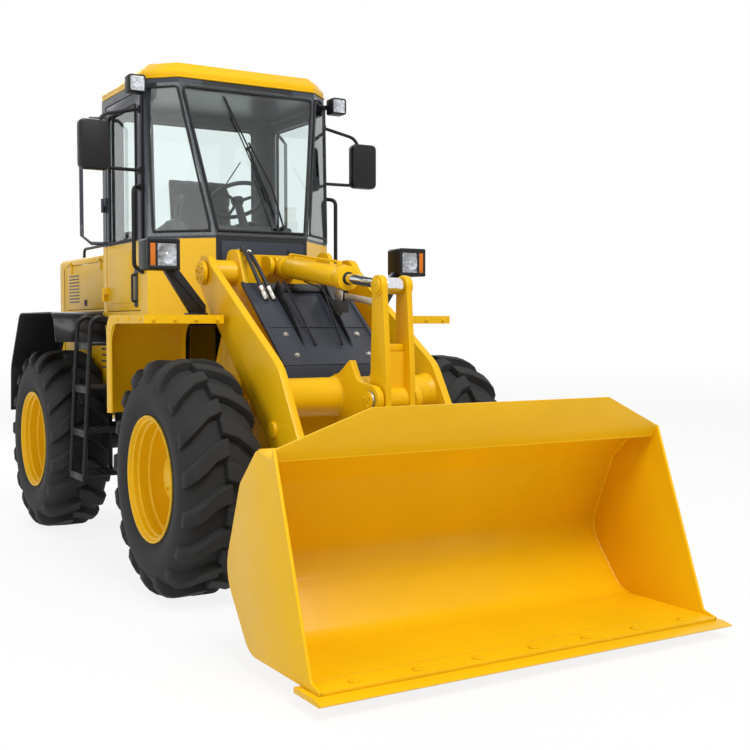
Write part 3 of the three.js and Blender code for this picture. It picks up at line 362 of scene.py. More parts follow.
@dataclass(frozen=True)
class Rubber:
    """Black rubber with a dusty bloom and a fine grain."""

    name: str
    colour: Point
    bloom: Point
    roughness: float = 0.62
    grain: float = 0.0008

    def material(self) -> bpy.types.Material:
        """The finish as a material.

        Returns:
            The material.
        """
        shader = Shader(self.name)
        shader.paint(shader.ramp(shader.noise(7.0, 5), self.colour, self.bloom, (0.4, 0.8)))
        shader.roughen(shader.noise(14.0, 4), self.roughness * 0.85, self.roughness * 1.2)
        shader.bump(shader.noise(180.0, 2), self.grain, 0.4)
        shader.set(Specular_IOR_Level=0.4)
        return shader.material


@dataclass(frozen=True)
class Metal:
    """Bare or plated metal with faint marks."""

    name: str
    colour: Point
    roughness: float
    scale: float = 60.0

    def material(self) -> bpy.types.Material:
        """The finish as a material.

        Returns:
            The material.
        """
        shader = Shader(self.name)
        marks = shader.noise(self.scale, 3)
        shader.paint(shader.ramp(marks, shade(self.colour, 0.85), self.colour))
        shader.roughen(marks, self.roughness * 0.7, self.roughness * 1.4)
        shader.bump(marks, 0.0002, 0.3)
        shader.set(Metallic=1.0)
        return shader.material


@dataclass(frozen=True)
class Glazing:
    """Clear glass or a coloured lens."""

    name: str
    colour: Point
    roughness: float = 0.01
    ripple: float = 0.0
    ripple_scale: float = 90.0
    clear: float = 1.0

    def material(self) -> bpy.types.Material:
        """The finish as a material.

        Returns:
            The material.
        """
        shader = Shader(self.name)
        shader.paint(shader.ramp(shader.noise(1.5, 1), shade(self.colour, 0.97), self.colour))
        shader.set(Roughness=self.roughness, Transmission_Weight=self.clear, IOR=1.45)
        if self.ripple:
            wave = shader.texture("Wave", self.ripple_scale, wave_type="BANDS", bands_direction="X")
            shader.bump(wave.outputs["Fac"], self.ripple, 0.6)
        return shader.material


@dataclass(frozen=True)
class Reflector:
    """A lamp's faceted silver bowl, made bright with painted light: a faint emission, a painted reflection
    of the sky, makes it look lit.
    """

    name: str
    colour: Point
    facets: float
    # strength of the painted light: an emission that stands in for a reflection of the sky
    glow: float

    def material(self) -> bpy.types.Material:
        """The finish as a material.

        Returns:
            The material.
        """
        shader = Shader(self.name)
        cells = shader.texture("Voronoi", self.facets)
        tint = shader.ramp(cells.outputs["Distance"], self.colour, shade(self.colour, 0.55), (0.1, 0.7))
        shader.paint(tint)
        # Painted light: the bowl emits its own facet-patterned tint as a painted reflection of the sky,
        # though the lamp is not lit.
        shader.link(tint, shader.surface.inputs["Emission Color"])
        shader.bump(cells.outputs["Distance"], 0.002, 0.8)
        shader.set(Metallic=0.7, Roughness=0.22, Emission_Strength=self.glow)
        return shader.material


@dataclass(frozen=True)
class Moulding:
    """Moulded plastic with a fine leather-like grain."""

    name: str
    colour: Point
    roughness: float = 0.5

    def material(self) -> bpy.types.Material:
        """The finish as a material.

        Returns:
            The material.
        """
        shader = Shader(self.name)
        shader.paint(shader.ramp(shader.noise(12.0, 3), shade(self.colour, 0.85), self.colour))
        cells = shader.texture("Voronoi", 700.0, feature="DISTANCE_TO_EDGE")
        shader.bump(cells.outputs["Distance"], 0.0004, 0.4)
        shader.set(Roughness=self.roughness)
        return shader.material


@dataclass(frozen=True)
class Weave:
    """Seat cloth: two crossed sets of threads with a soft sheen."""

    name: str
    colour: Point
    thread: Point
    threads: float = 420.0

    def material(self) -> bpy.types.Material:
        """The finish as a material.

        Returns:
            The material.
        """
        shader = Shader(self.name)
        heights = []
        for direction in ("X", "DIAGONAL"):
            wave = shader.texture("Wave", self.threads, wave_type="BANDS", bands_direction=direction)
            wave.inputs["Distortion"].default_value = 0.6
            heights.append(wave.outputs["Fac"])
        crossed = shader.math("MULTIPLY", *heights)
        shader.paint(shader.ramp(crossed, self.colour, self.thread, (0.1, 0.7)))
        shader.bump(crossed, 0.0006, 0.6)
        shader.set(Roughness=0.85, Sheen_Weight=0.4)
        return shader.material


YELLOW_TINT: Point = (0.86, 0.495, 0.003)
SLATE_TINT: Point = (0.04, 0.046, 0.06)
BLACK_TINT: Point = (0.012, 0.012, 0.014)


class Finish(Enum):
    """Every finish on the machine."""

    YELLOW = Enamel("yellow_enamel", YELLOW_TINT)
    SLATE = Enamel("slate_enamel", SLATE_TINT, 0.42, 0.1, 0.85)
    BLACK = Enamel("black_enamel", BLACK_TINT, 0.45, 0.1, 0.8)
    CAB = BandedEnamel("cab_enamel", YELLOW_TINT, SLATE_TINT, 2.103, BLACK_TINT, 0.33, (-0.5, 1.1))
    DOOR = BandedEnamel("door_enamel", YELLOW_TINT, SLATE_TINT, 2.103, BLACK_TINT, 0.1, (0.0, 0.1))
    TYRE = Rubber("tyre_rubber", (0.006, 0.0065, 0.008), (0.013, 0.0135, 0.016), 0.4)
    HOSE = Rubber("hose_rubber", (0.014, 0.014, 0.015), (0.022, 0.022, 0.024), 0.5, 0.0003)
    SEAL = Rubber("seal_rubber", (0.01, 0.01, 0.011), (0.016, 0.016, 0.018), 0.6, 0.0003)
    CHROME = Metal("rod_chrome", (0.82, 0.83, 0.85), 0.09)
    STEEL = Metal("pin_steel", (0.5, 0.5, 0.51), 0.35)
    ZINC = Metal("zinc_plating", (0.62, 0.6, 0.55), 0.3, scale=120.0)
    IRON = Enamel("axle_iron", (0.03, 0.03, 0.034), 0.55, 0.0, 0.7)
    GLASS = Glazing("cab_glass", (0.88, 0.95, 0.94))
    LENS = Glazing("clear_lens", (0.95, 0.97, 1.0), 0.03, 0.0015)
    AMBER = Glazing("amber_lens", (0.9, 0.24, 0.01), 0.08, 0.0012, 140.0, 0.2)
    RED = Glazing("red_lens", (0.55, 0.008, 0.008), 0.08, 0.0012, 140.0, 0.2)
    # Painted light: the lamps' reflectors emit a painted reflection of the sky.
    GLOW = Reflector("lamp_reflector", (0.86, 0.88, 0.9), 60.0, 0.35)
    MIRROR = Metal("mirror_silver", (0.9, 0.92, 0.93), 0.03, scale=3.0)
    PLASTIC = Moulding("black_moulding", (0.02, 0.02, 0.022))
    TRIM = Moulding("grey_moulding", (0.09, 0.092, 0.1), 0.6)
    CLOTH = Weave("seat_weave", (0.02, 0.02, 0.022), (0.06, 0.06, 0.065))
    VINYL = Moulding("seat_vinyl", (0.025, 0.025, 0.028), 0.42)

    def material(self) -> bpy.types.Material:
        """The finish's material, made the first time that it is asked for."""
        known = bpy.data.materials.get(self.value.name)
        return known or self.value.material()


# ---------------------------------------------------------------- modelling


def begin() -> None:
    """Leave edit mode and deselect everything, before a new piece is started."""
    if bpy.context.object and bpy.context.object.mode != "OBJECT":
        bpy.ops.object.mode_set(mode="OBJECT")
    bpy.ops.object.select_all(action="DESELECT")


def only(piece: Piece) -> None:
    """Make a piece the one that is selected and active.

    Args:
        piece: the piece.
    """
    begin()
    piece.select_set(True)
    bpy.context.view_layer.objects.active = piece


def settle(name: str) -> Piece:
    """Name the active piece and move its place into its mesh.

    Args:
        name: the piece's name.

    Returns:
        The piece.
    """
    piece = bpy.context.object
    piece.name = name
    piece.data.name = name
    bpy.ops.object.transform_apply(location=True, rotation=True, scale=True)
    return piece


def change(piece: Piece, kind: str, **settings: object) -> Piece:
    """Add a modifier to a piece and apply it.

    Args:
        piece: the piece.
        kind: the modifier's type.
        settings: its properties.

    Returns:
        The piece.
    """
    only(piece)
    made = piece.modifiers.new(kind.lower(), kind)
    for key, value in settings.items():
        setattr(made, key, value)
    bpy.ops.object.modifier_apply(modifier=made.name)
    return piece


def soften(piece: Piece, width: float, segments: int = 2, angle: float = 32.0) -> Piece:
    """Round a piece's sharp edges.

    Args:
        piece: the piece.
        width: the width of each rounding.
        segments: the faces across it.
        angle: edges that turn by less, in degrees, stay as they are.

    Returns:
        The piece.
    """
    return change(
        piece, "BEVEL", width=width, segments=segments, limit_method="ANGLE", angle_limit=math.radians(angle)
    )


def block(name: str, low: Point, high: Point, edge: float = 0.003, segments: int = 2) -> Piece:
    """A box with rounded edges.

    Args:
        name: the piece's name.
        low: its lowest corner.
        high: its highest corner.
        edge: the width of its edge roundings.
        segments: the faces across each.

    Returns:
        The piece.
    """
    begin()
    middle = [(a + b) / 2 for a, b in zip(low, high)]
    bpy.ops.mesh.primitive_cube_add(size=1, location=middle)
    bpy.context.object.scale = [abs(b - a) for a, b in zip(low, high)]
    piece = settle(name)
    return soften(piece, edge, segments) if edge else piece


def rod(
    name: str, start: Point, end: Point, radius: float, sides: int = 24, edge: float = 0.0,
    tip: float | None = None,
) -> Piece:
    """A round bar, or a cone where its tip has another radius.

    Args:
        name: the piece's name.
        start: the middle of its first end.
        end: the middle of its other end.
        radius: its radius at the start.
        sides: its faces around.
        edge: the width of its rims' roundings.
        tip: its radius at the end.

    Returns:
        The piece.
    """
    begin()
    a, b = Vector(start), Vector(end)
    turn = Vector((0, 0, 1)).rotation_difference(b - a)
    bpy.ops.mesh.primitive_cone_add(
        vertices=sides,
        radius1=radius,
        radius2=radius if tip is None else tip,
        depth=(b - a).length,
        location=(a + b) / 2,
        rotation=turn.to_euler(),
    )
    piece = settle(name)
    return soften(piece, edge, 2, 40) if edge else piece


def rounded(corners: Sequence[Corner], steps: int = 8) -> list[tuple[float, float]]:
    """An outline with arcs at the corners that state a radius.

    Args:
        corners: (u, v) or (u, v, radius), in order.
        steps: the pieces of each arc.

    Returns:
        The outline's points.
    """
    points = []
    for i, corner in enumerate(corners):
        here = Vector(corner[:2])
        if len(corner) < 3:
            points.append(tuple(here))
            continue
        before = (Vector(corners[i - 1][:2]) - here).normalized()
        after = (Vector(corners[(i + 1) % len(corners)][:2]) - here).normalized()
        half = before.angle(after) / 2
        reach = corner[2] / math.tan(half)
        centre = here + (before + after).normalized() * (corner[2] / math.sin(half))
        first, last = here + before * reach - centre, here + after * reach - centre
        sweep = first.angle_signed(last)
        for step in range(steps + 1):
            angle = -sweep * step / steps
            turned = Matrix.Rotation(angle, 2) @ first
            points.append(tuple(centre + turned))
    return points


def rectangle(u0: float, v0: float, u1: float, v1: float, radius: float | None = None) -> list[Corner]:
    """The four corners of an upright rectangle, which may have a radius."""
    corners = ((u0, v0), (u1, v0), (u1, v1), (u0, v1))
    return [corner if radius is None else (*corner, radius) for corner in corners]


def placed(axis: Axis, u: float, v: float, across: float) -> Point:
    """The point in space at an outline's own coordinates and a place along its axis."""
    return {Axis.X: (across, u, v), Axis.Y: (u, across, v), Axis.Z: (u, v, across)}[axis]


def face_outwards() -> None:
    """Turn every face of the piece in edit mode outwards."""
    bpy.ops.mesh.select_all(action="SELECT")
    bpy.ops.mesh.normals_make_consistent(inside=False)


def plate(
    name: str,
    corners: Sequence[Corner],
    span: tuple[float, float],
    axis: Axis = Axis.X,
    edge: float = 0.002,
    steps: int = 8,
) -> Piece:
    """A flat plate of any outline.

    Args:
        name: the piece's name.
        corners: its outline: y and z across X, x and z across Y, x and y across Z.
        span: where it starts and ends along the axis.
        axis: the direction of its thickness.
        edge: the width of its edge roundings.
        steps: the pieces of each rounded corner.

    Returns:
        The piece.
    """
    begin()
    points = rounded(corners, steps)
    bpy.ops.mesh.primitive_circle_add(vertices=len(points), fill_type="NGON")
    piece = bpy.context.object
    for vertex, (u, v) in zip(piece.data.vertices, points):
        vertex.co = placed(axis, u, v, span[0])
    bpy.ops.object.mode_set(mode="EDIT")
    bpy.ops.mesh.select_all(action="SELECT")
    along = [0.0, 0.0, 0.0]
    along[axis.value] = span[1] - span[0]
    bpy.ops.mesh.extrude_region_move(TRANSFORM_OT_translate={"value": along})
    face_outwards()
    bpy.ops.object.mode_set(mode="OBJECT")
    settle(name)
    return soften(piece, edge) if edge else piece


def spun(
    name: str, profile: Sequence[tuple[float, float]], centre: Point, steps: int = 64, axis: Axis = Axis.X
) -> Piece:
    """A closed profile spun about an axis.

    Args:
        name: the piece's name.
        profile: (radius, distance along the axis) in order.
        centre: a point on the axis, from which the distances count.
        steps: the faces around.
        axis: the axis.

    Returns:
        The piece.
    """
    begin()
    bpy.ops.mesh.primitive_circle_add(vertices=len(profile), fill_type="NOTHING")
    piece = bpy.context.object
    middle = Vector(centre)
    for vertex, (radius, distance) in zip(piece.data.vertices, profile):
        out = {
            Axis.X: (distance, 0, radius), Axis.Y: (0, distance, radius), Axis.Z: (radius, 0, distance)
        }[axis]
        vertex.co = middle + Vector(out)
    bpy.ops.object.mode_set(mode="EDIT")
    bpy.ops.mesh.select_all(action="SELECT")
    line = [0.0, 0.0, 0.0]
    line[axis.value] = 1.0
    bpy.ops.mesh.spin(steps=steps, angle=math.tau, center=centre, axis=line, use_auto_merge=True)
    bpy.ops.mesh.select_all(action="SELECT")
    bpy.ops.mesh.remove_doubles(threshold=1e-5)
    bpy.ops.mesh.dissolve_degenerate(threshold=1e-6)
    face_outwards()
    bpy.ops.object.mode_set(mode="OBJECT")
    return settle(name)


def bent(points: Sequence[Point], radius: float, steps: int = 6) -> list[Vector]:
    """A route with an arc at each of its inner corners.

    Args:
        points: the route's corners.
        radius: the radius of every bend.
        steps: the pieces of each arc.

    Returns:
        The route's points.
    """
    corners = [Vector(p) for p in points]
    route = [corners[0]]
    for before, here, after in zip(corners, corners[1:], corners[2:]):
        back, on = (before - here), (after - here)
        half = back.angle(on) / 2
        reach = min(radius / math.tan(half), back.length * 0.48, on.length * 0.48)
        first, last = here + back.normalized() * reach, here + on.normalized() * reach
        for step in range(steps + 1):
            t = step / steps
            route.append(first * (1 - t) ** 2 + here * 2 * t * (1 - t) + last * t * t)
    route.append(corners[-1])
    return route


def pipe(name: str, points: Sequence[Point], radius: float, bend: float = 0.05, sides: int = 4) -> Piece:
    """A round tube bent along a route.

    Args:
        name: the piece's name.
        points: the route's corners.
        radius: the tube's radius.
        bend: the radius of every bend.
        sides: the curve's bevel resolution.

    Returns:
        The piece.
    """
    begin()
    bpy.ops.curve.primitive_bezier_curve_add()
    curve = bpy.context.object
    curve.data.splines.clear()
    route = bent(points, bend)
    spline = curve.data.splines.new("POLY")
    spline.points.add(len(route) - 1)
    for point, place in zip(spline.points, route):
        point.co = (*place, 1.0)
    curve.data.bevel_depth = radius
    curve.data.bevel_resolution = sides
    curve.data.use_fill_caps = True
    bpy.ops.object.convert(target="MESH")
    return settle(name)


def copied(piece: Piece, name: str, matrix: Matrix) -> Piece:
    """A copy of a piece with a mesh of its own, moved.

    Args:
        piece: the piece.
        name: the copy's name.
        matrix: the move; a mirroring one keeps the faces outwards.

    Returns:
        The copy.
    """
    begin()
    copy = piece.copy()
    copy.data = piece.data.copy()
    copy.name = name
    bpy.context.scene.collection.objects.link(copy)
    copy.data.transform(matrix)
    if matrix.determinant() < 0:
        copy.data.flip_normals()
    return copy


MIRROR = Matrix.Diagonal((-1, 1, 1, 1))


def merged(name: str, pieces: Iterable[Piece]) -> Piece:
    """Several pieces as one.

    Args:
        name: the new piece's name.
        pieces: the pieces.

    Returns:
        The one piece.
    """
    begin()
    group = list(pieces)
    for piece in group:
        piece.select_set(True)
    bpy.context.view_layer.objects.active = group[0]
    if len(group) > 1:
        bpy.ops.object.join()
    group[0].name = name
    group[0].data.name = name
    return group[0]


def dressed(piece: Piece, finish: Finish, body: str, *nodes: str) -> Piece:
    """Finish a piece and let it ride on a body.

    Args:
        piece: the piece.
        finish: what it is painted with or made of.
        body: the body that it moves with.
        nodes: CAD nodes that it stands for.

    Returns:
        The piece.
    """
    only(piece)
    bpy.ops.object.shade_smooth_by_angle(angle=SMOOTH)
    piece.data.materials.clear()
    piece.data.materials.append(finish.material())
    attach(piece, body)
    if nodes:
        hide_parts(*nodes)
    log.info("%s: %d faces on %s", piece.name, len(piece.data.polygons), body)
    return piece


def both_sides(piece: Piece, finish: Finish, body: str, *nodes: str) -> None:
    """Finish a piece of the left side, and its mirror image on the right.

    Args:
        piece: the left piece, whose name ends in _left.
        finish: their finish.
        body: their body; a name that ends in _left has its right twin.
        nodes: CAD nodes that they stand for, named in the same way.
    """
    right, *twins = [text.replace("_left", "_right") for text in (piece.name, body, *nodes)]
    twin = copied(piece, right, MIRROR)
    dressed(piece, finish, body, *nodes)
    dressed(twin, finish, *twins)


def bolt(name: str, at: Point, out: Point, size: float) -> Piece:
    """A hexagon head on a washer.

    Args:
        name: the piece's name.
        at: the middle of its seat.
        out: the direction that it stands out in.
        size: its width across the corners.

    Returns:
        The piece.
    """
    seat, way = Vector(at), Vector(out).normalized()
    washer = rod(name + "_washer", seat - way * 0.001, seat + way * size * 0.12, size * 0.66, 16)
    head = rod(name + "_head", seat + way * size * 0.1, seat + way * size * 0.5, size * 0.5, 6, size * 0.05)
    return merged(name, [washer, head])


def bolts(name: str, places: Iterable[Point], out: Point, size: float) -> Piece:
    """The same bolt at several places.

    Args:
        name: the piece's name.
        places: the middles of their seats.
        out: the direction that they stand out in.
        size: their width across the corners.

    Returns:
        All of them as one piece.
    """
    spots = list(places)
    first = bolt(name, (0, 0, 0), out, size)
    copies = [copied(first, f"{name}_{i}", Matrix.Translation(spot)) for i, spot in enumerate(spots[1:])]
    first.data.transform(Matrix.Translation(spots[0]))
    return merged(name, [first, *copies])


# ---------------------------------------------------------------- wheels


@dataclass
class Wheel:
    """A lugged tyre on a dished rim, made once and copied to all four corners."""

    radius: float = 0.675
    half_width: float = 0.2225
    wheel_x: float = 0.84
    axle_z: float = 0.675
    axles: dict[str, float] = field(default_factory=lambda: {"front": -0.74, "rear": 1.86})
    lugs: int = 17
    lug_sweep: float = 0.33  # how far a lug leads round the tyre from its shoulder to the middle
    lug_half: float = 0.034
    wheel_nuts: int = 10

    def lug_point(self, side: float, along: float, across: float, top: bool) -> Vector:
        """A point of a lug.

        Args:
            side: 1 for the outer half of the tread, -1 for the inner half.
            along: 0 at the middle of the tread, 1 at its end on the side wall.
            across: -1 and 1 on its two flanks.
            top: whether it is on the tread face or at the root.

        Returns:
            The point, about a wheel at the origin.
        """
        crown = self.radius
        face = [(0.0, -0.012, crown - 0.001), (0.55, 0.13, crown - 0.003), (0.74, 0.183, crown - 0.016)]
        face += [
            (0.88, self.half_width - 0.003, crown - 0.07), (1.0, self.half_width - 0.001, crown - 0.125)
        ]
        root = [(0.0, -0.012, crown - 0.056), (0.55, 0.13, crown - 0.058), (0.74, 0.172, crown - 0.072)]
        root += [
            (0.88, self.half_width - 0.026, crown - 0.096), (1.0, self.half_width - 0.016, crown - 0.13)
        ]
        path = face if top else root
        for (t0, x0, r0), (t1, x1, r1) in zip(path, path[1:]):
            if along <= t1:
                share = (along - t0) / (t1 - t0)
                x, r = x0 + (x1 - x0) * share, r0 + (r1 - r0) * share
                break
        hook = 0.07 * max(0.0, 0.3 - along) / 0.3
        lead = self.lug_sweep * (1 - along) ** 1.15 - hook
        half = self.lug_half * (1.0 + 0.3 * along) * (1.0 if top else 1.35)
        angle = lead + across * half / self.radius * (1.35 - 0.35 * along)
        return Vector((side * x, r * math.sin(angle), r * math.cos(angle)))

    def lug(self, side: float) -> Piece:
        """One tread lug of one half of the tyre.

        Args:
            side: 1 for the outer half, -1 for the inner half.

        Returns:
            The lug.
        """
        begin()
        cuts = 9
        bpy.ops.mesh.primitive_cube_add(size=1, location=(0.5, 0, 0))
        piece = bpy.context.object
        bpy.ops.object.transform_apply(location=True, rotation=True, scale=True)
        bpy.ops.object.mode_set(mode="EDIT")
        for step in range(1, cuts):
            bpy.ops.mesh.select_all(action="SELECT")
            bpy.ops.mesh.bisect(plane_co=(step / cuts, 0, 0), plane_no=(1, 0, 0))
        bpy.ops.object.mode_set(mode="OBJECT")
        for vertex in piece.data.vertices:
            along, across, up = vertex.co
            vertex.co = self.lug_point(side, along, 2 * across, up > 0)
        piece.name = "lug"
        bpy.ops.object.mode_set(mode="EDIT")
        face_outwards()
        bpy.ops.object.mode_set(mode="OBJECT")
        return soften(piece, 0.004, 1, 40)

    def tyre(self) -> Piece:
        """The whole tyre about the origin, its outer side towards +X.

        Returns:
            The tyre.
        """
        half, crown = self.half_width, self.radius - 0.05
        profile = [
            (0.345, -half + 0.05), (0.352, -half + 0.03), (0.372, -half + 0.016), (0.386, -half + 0.02),
            (0.42, -half + 0.006), (0.47, -half + 0.001), (0.52, -half + 0.001), (0.53, -half + 0.006),
            (0.542, -half + 0.006), (0.56, -half + 0.014), (0.588, -half + 0.032),
            (crown - 0.01, -half + 0.066), (crown + 0.002, -0.09), (crown + 0.004, 0.0),
        ]
        profile += [(r, -x) for r, x in reversed(profile[:-1])]
        body = spun("tyre_body", profile, (0, 0, 0), 72)
        lugs = []
        for side in (1.0, -1.0):
            first = self.lug(side)
            for i in range(self.lugs):
                shift = (i + (0.5 if side < 0 else 0.0)) / self.lugs * math.tau
                lugs.append(copied(first, f"lug_{i}", Matrix.Rotation(shift, 4, "X")))
            bpy.data.objects.remove(first)
        return merged("tyre", [body, *lugs])

    def rim(self) -> Piece:
        """The dished rim with its hub cap.

        Returns:
            The rim.
        """
        half, seat = self.half_width, 0.3397
        profile = [
            (seat - 0.012, -half + 0.045), (0.352, -half + 0.012), (0.36, -half + 0.014),
            (0.358, -half + 0.024), (seat, -half + 0.04), (seat, half - 0.04), (0.358, half - 0.024),
            (0.3605, half - 0.016), (0.356, half - 0.009), (0.35, half - 0.01), (0.343, half - 0.022),
            (0.341, half - 0.03), (0.331, half - 0.036), (0.329, half - 0.06), (0.318, half - 0.068),
            (0.316, half - 0.12), (0.305, half - 0.13), (0.303, 0.0), (0.294, -0.014), (0.27, -0.02),
            (0.235, -0.016), (0.2, -0.002), (0.182, 0.004), (0.172, 0.02), (0.135, 0.026), (0.126, 0.066),
            (0.118, 0.079), (0.001, 0.079), (0.001, -0.04), (0.325, -0.04),
        ]
        dish = spun("rim_dish", profile, (0, 0, 0), 72)
        cap = spun(
            "rim_cap", [(0.002, 0.078), (0.062, 0.078), (0.062, 0.088), (0.05, 0.098), (0.002, 0.1)],
            (0, 0, 0), 32,
        )
        return merged("rim", [dish, cap])

    def hardware(self) -> Piece:
        """The wheel nuts, the drain plugs of the hub and the tyre valve.

        Returns:
            All of them as one piece.
        """
        circle = [(i / self.wheel_nuts * math.tau) for i in range(self.wheel_nuts)]
        nuts = bolts(
            "nuts", [(0.024, 0.153 * math.sin(a), 0.153 * math.cos(a)) for a in circle], (1, 0, 0), 0.03
        )
        plugs = bolts(
            "plugs", [(0.078, 0.09 * math.sin(a), 0.09 * math.cos(a)) for a in (0.4, 2.5, 4.6)], (1, 0, 0),
            0.022,
        )
        stem = rod("valve", (0.01, 0.2, 0.2), (0.085, 0.222, 0.222), 0.006, 12, 0.001)
        guard_line = [(-0.02, -0.016), (0.13, -0.016), (0.13, 0.0), (0.02, 0.09), (-0.02, 0.09)]
        guard = plate("valve_guard", guard_line, (-0.312, -0.268), Axis.Z, 0.002)
        return merged("wheel_hardware", [nuts, plugs, stem, guard])

    def build(self) -> None:
        """Make the wheel and place it at the four corners."""
        models = ((self.tyre(), "tyre", Finish.TYRE), (self.rim(), "rim", Finish.YELLOW))
        hardware = self.hardware()
        for place, y in self.axles.items():
            for side, x in SIDES:
                move = Matrix.Translation((x * self.wheel_x, y, self.axle_z))
                turn = Matrix.Identity(4) if x > 0 else MIRROR
                for model, part, finish in models:
                    name = f"{place}_{part}_{side}"
                    piece = copied(model, name + "_looks", move @ turn)
                    dressed(piece, finish, f"{place}_wheel_{side}", name)
                fittings = copied(hardware, f"{place}_wheel_hardware_{side}", move @ turn)
                dressed(fittings, Finish.YELLOW, f"{place}_wheel_{side}")
        for model, _, _ in models:
            bpy.data.objects.remove(model)
        bpy.data.objects.remove(hardware)


# ---------------------------------------------------------------- bucket


@dataclass
class Bucket:
    """A welded bucket with a bolted edge, a spill guard, and the ears and lugs of its linkage."""

    half: float = 1.12
    edge_half: float = 1.15
    wall: float = 0.016
    floor_z: float = 0.075
    pivot: tuple[float, float] = (-1.86, 0.36)
    lug: tuple[float, float] = (-1.93, 0.577)
    tip_y: float = -2.98
    bolt_count: int = 7

    def outer(self) -> list[Corner]:
        """The outline of the bucket's back and floor, outside."""
        return [
            (-2.905, 0.075), (-2.24, 0.075, 0.15), (-1.975, 0.4, 0.19), (-2.15, 0.83, 0.09),
            (-2.33, 1.0, 0.05), (-2.47, 0.972),
        ]

    def inner(self) -> list[Corner]:
        """The same outline, inside."""
        return [
            (-2.466, 0.956), (-2.335, 0.981, 0.044), (-2.168, 0.824, 0.084), (-1.993, 0.402, 0.176),
            (-2.246, 0.091, 0.138), (-2.905, 0.091),
        ]

    def shell(self) -> list[Piece]:
        """The back, floor, cheeks and spill guard.

        Returns:
            The pieces.
        """
        inset = self.half - self.wall / 2
        back = plate("bucket_back", [*self.outer(), *self.inner()], (-inset, inset), edge=0.002, steps=14)
        cheek_line = [*self.outer(), (-2.493, 1.02), (-2.825, 0.112, 0.02), (-2.905, 0.091)]
        cheek = plate(
            "bucket_cheek_left", cheek_line, (self.half - self.wall, self.half), edge=0.003, steps=14
        )
        guard_line = [
            (-1.108, 0.957), (1.108, 0.957), (1.108, 1.016, 0.012), (0.685, 1.184, 0.02),
            (-0.685, 1.184, 0.02), (-1.108, 1.016, 0.012),
        ]
        guard = plate("bucket_guard", guard_line, (0.0, self.wall), Axis.Y, edge=0.003)
        for vertex in guard.data.vertices:
            vertex.co.y += -2.468 - (vertex.co.z - 0.957) * 123 / 227
        return [back, cheek, copied(cheek, "bucket_cheek_right", MIRROR), guard]

    def linkage_mounts(self) -> list[Piece]:
        """The ears on the arm pins and the lugs of the link, on both sides.

        Returns:
            The pieces.
        """
        made = []
        (y, z), (lug_y, lug_z) = self.pivot, self.lug
        for x0, x1 in ((0.4465, 0.4695), (0.5305, 0.5535)):
            line = [(y + 0.04, z + 0.066), (y + 0.04, z - 0.066), (-2.115, 0.13), (-2.055, 0.64)]
            made += [
                plate("ear_left", line, (x0, x1)),
                spun("ear_eye_left", rectangle(0.0358, x0, 0.08, x1), (0, y, z), 40),
            ]
        line = [(lug_y + 0.02, lug_z + 0.056), (lug_y + 0.02, lug_z - 0.056), (-2.03, 0.38), (-2.15, 0.8)]
        made += [
            plate("lug_left", line, (0.09, 0.116)),
            rod("lug_eye_left", (0.09, lug_y, lug_z), (0.116, lug_y, lug_z), 0.06, 40, 0.003),
            rod("lug_cap_left", (0.114, lug_y, lug_z), (0.128, lug_y, lug_z), 0.042, 32, 0.003),
        ]
        bowl = plate(
            "bowl_space", [*self.inner(), (-2.905, 0.956)], (-self.half, self.half), edge=0.0, steps=14
        )
        bowl.data.transform(Matrix.Translation((0, self.wall / 2, 0)))
        for part in made:
            change(part, "BOOLEAN", operation="DIFFERENCE", object=bowl, solver="EXACT")
        bpy.data.objects.remove(bowl)
        mounts = merged("mounts_left", made)
        return [mounts, copied(mounts, "mounts_right", MIRROR)]

    def trim(self) -> list[Piece]:
        """The weld seams, wear strips and the thick lip that stiffens the bucket.

        Returns:
            The pieces.
        """
        made = []
        inside = rounded([*self.inner()[:0:-1]], 10)
        for side, x in SIDES:
            weld_x = x * (self.half - self.wall - 0.001)
            seam = [(weld_x, u, v) for u, v in inside[1:-1]]
            made += [
                pipe(f"cheek_weld_{side}", seam, 0.006, 0.001, 2),
                block(f"floor_strip_{side}", (x * 0.62, -2.68, 0.06), (x * 0.74, -2.26, 0.0755)),
            ]
        made += [
            pipe("guard_weld", [(-1.1, -2.4655, 0.962), (1.1, -2.4655, 0.962)], 0.006, 0.01, 2),
            block("floor_seam", (-1.104, -2.772, 0.0905), (1.104, -2.756, 0.0935), 0.0012, 1),
            block("brow_bar", (-1.1, -2.345, 0.972), (1.1, -2.30, 0.999), 0.006),
        ]
        return made

    def edge(self) -> Piece:
        """The cutting edge: a bevelled plate; its bolt heads are made by edge_bolts.

        Returns:
            The edge.
        """
        under = self.floor_z - 0.0003
        line = [
            (self.tip_y, under - 0.012), (self.tip_y + 0.06, under), (-2.74, under), (-2.74, under - 0.025),
            (self.tip_y + 0.02, under - 0.025),
        ]
        return plate("cutting_edge_looks", line, (-self.edge_half, self.edge_half), edge=0.002)

    def edge_bolts(self) -> Piece:
        """The round plough-bolt heads along the lip.

        Returns:
            All of them as one piece.
        """
        heads = []
        for i in range(self.bolt_count):
            x = -0.93 + i * 1.86 / (self.bolt_count - 1)
            heads += [
                rod(f"edge_bolt_{i}", (x, -2.85, 0.09), (x, -2.85, 0.098), 0.024, 20, 0.003),
                rod(f"edge_socket_{i}", (x, -2.85, 0.097), (x, -2.85, 0.101), 0.011, 6, 0.001),
            ]
        return merged("edge_bolts", heads)

    def build(self) -> None:
        """Make the bucket and its edge."""
        body = merged("bucket_looks", [*self.shell(), *self.linkage_mounts(), *self.trim()])
        dressed(body, Finish.YELLOW, "bucket", "bucket")
        dressed(self.edge(), Finish.YELLOW, "bucket", "cutting_edge")
        dressed(self.edge_bolts(), Finish.YELLOW, "bucket")


# ---------------------------------------------------------------- arms and cylinders


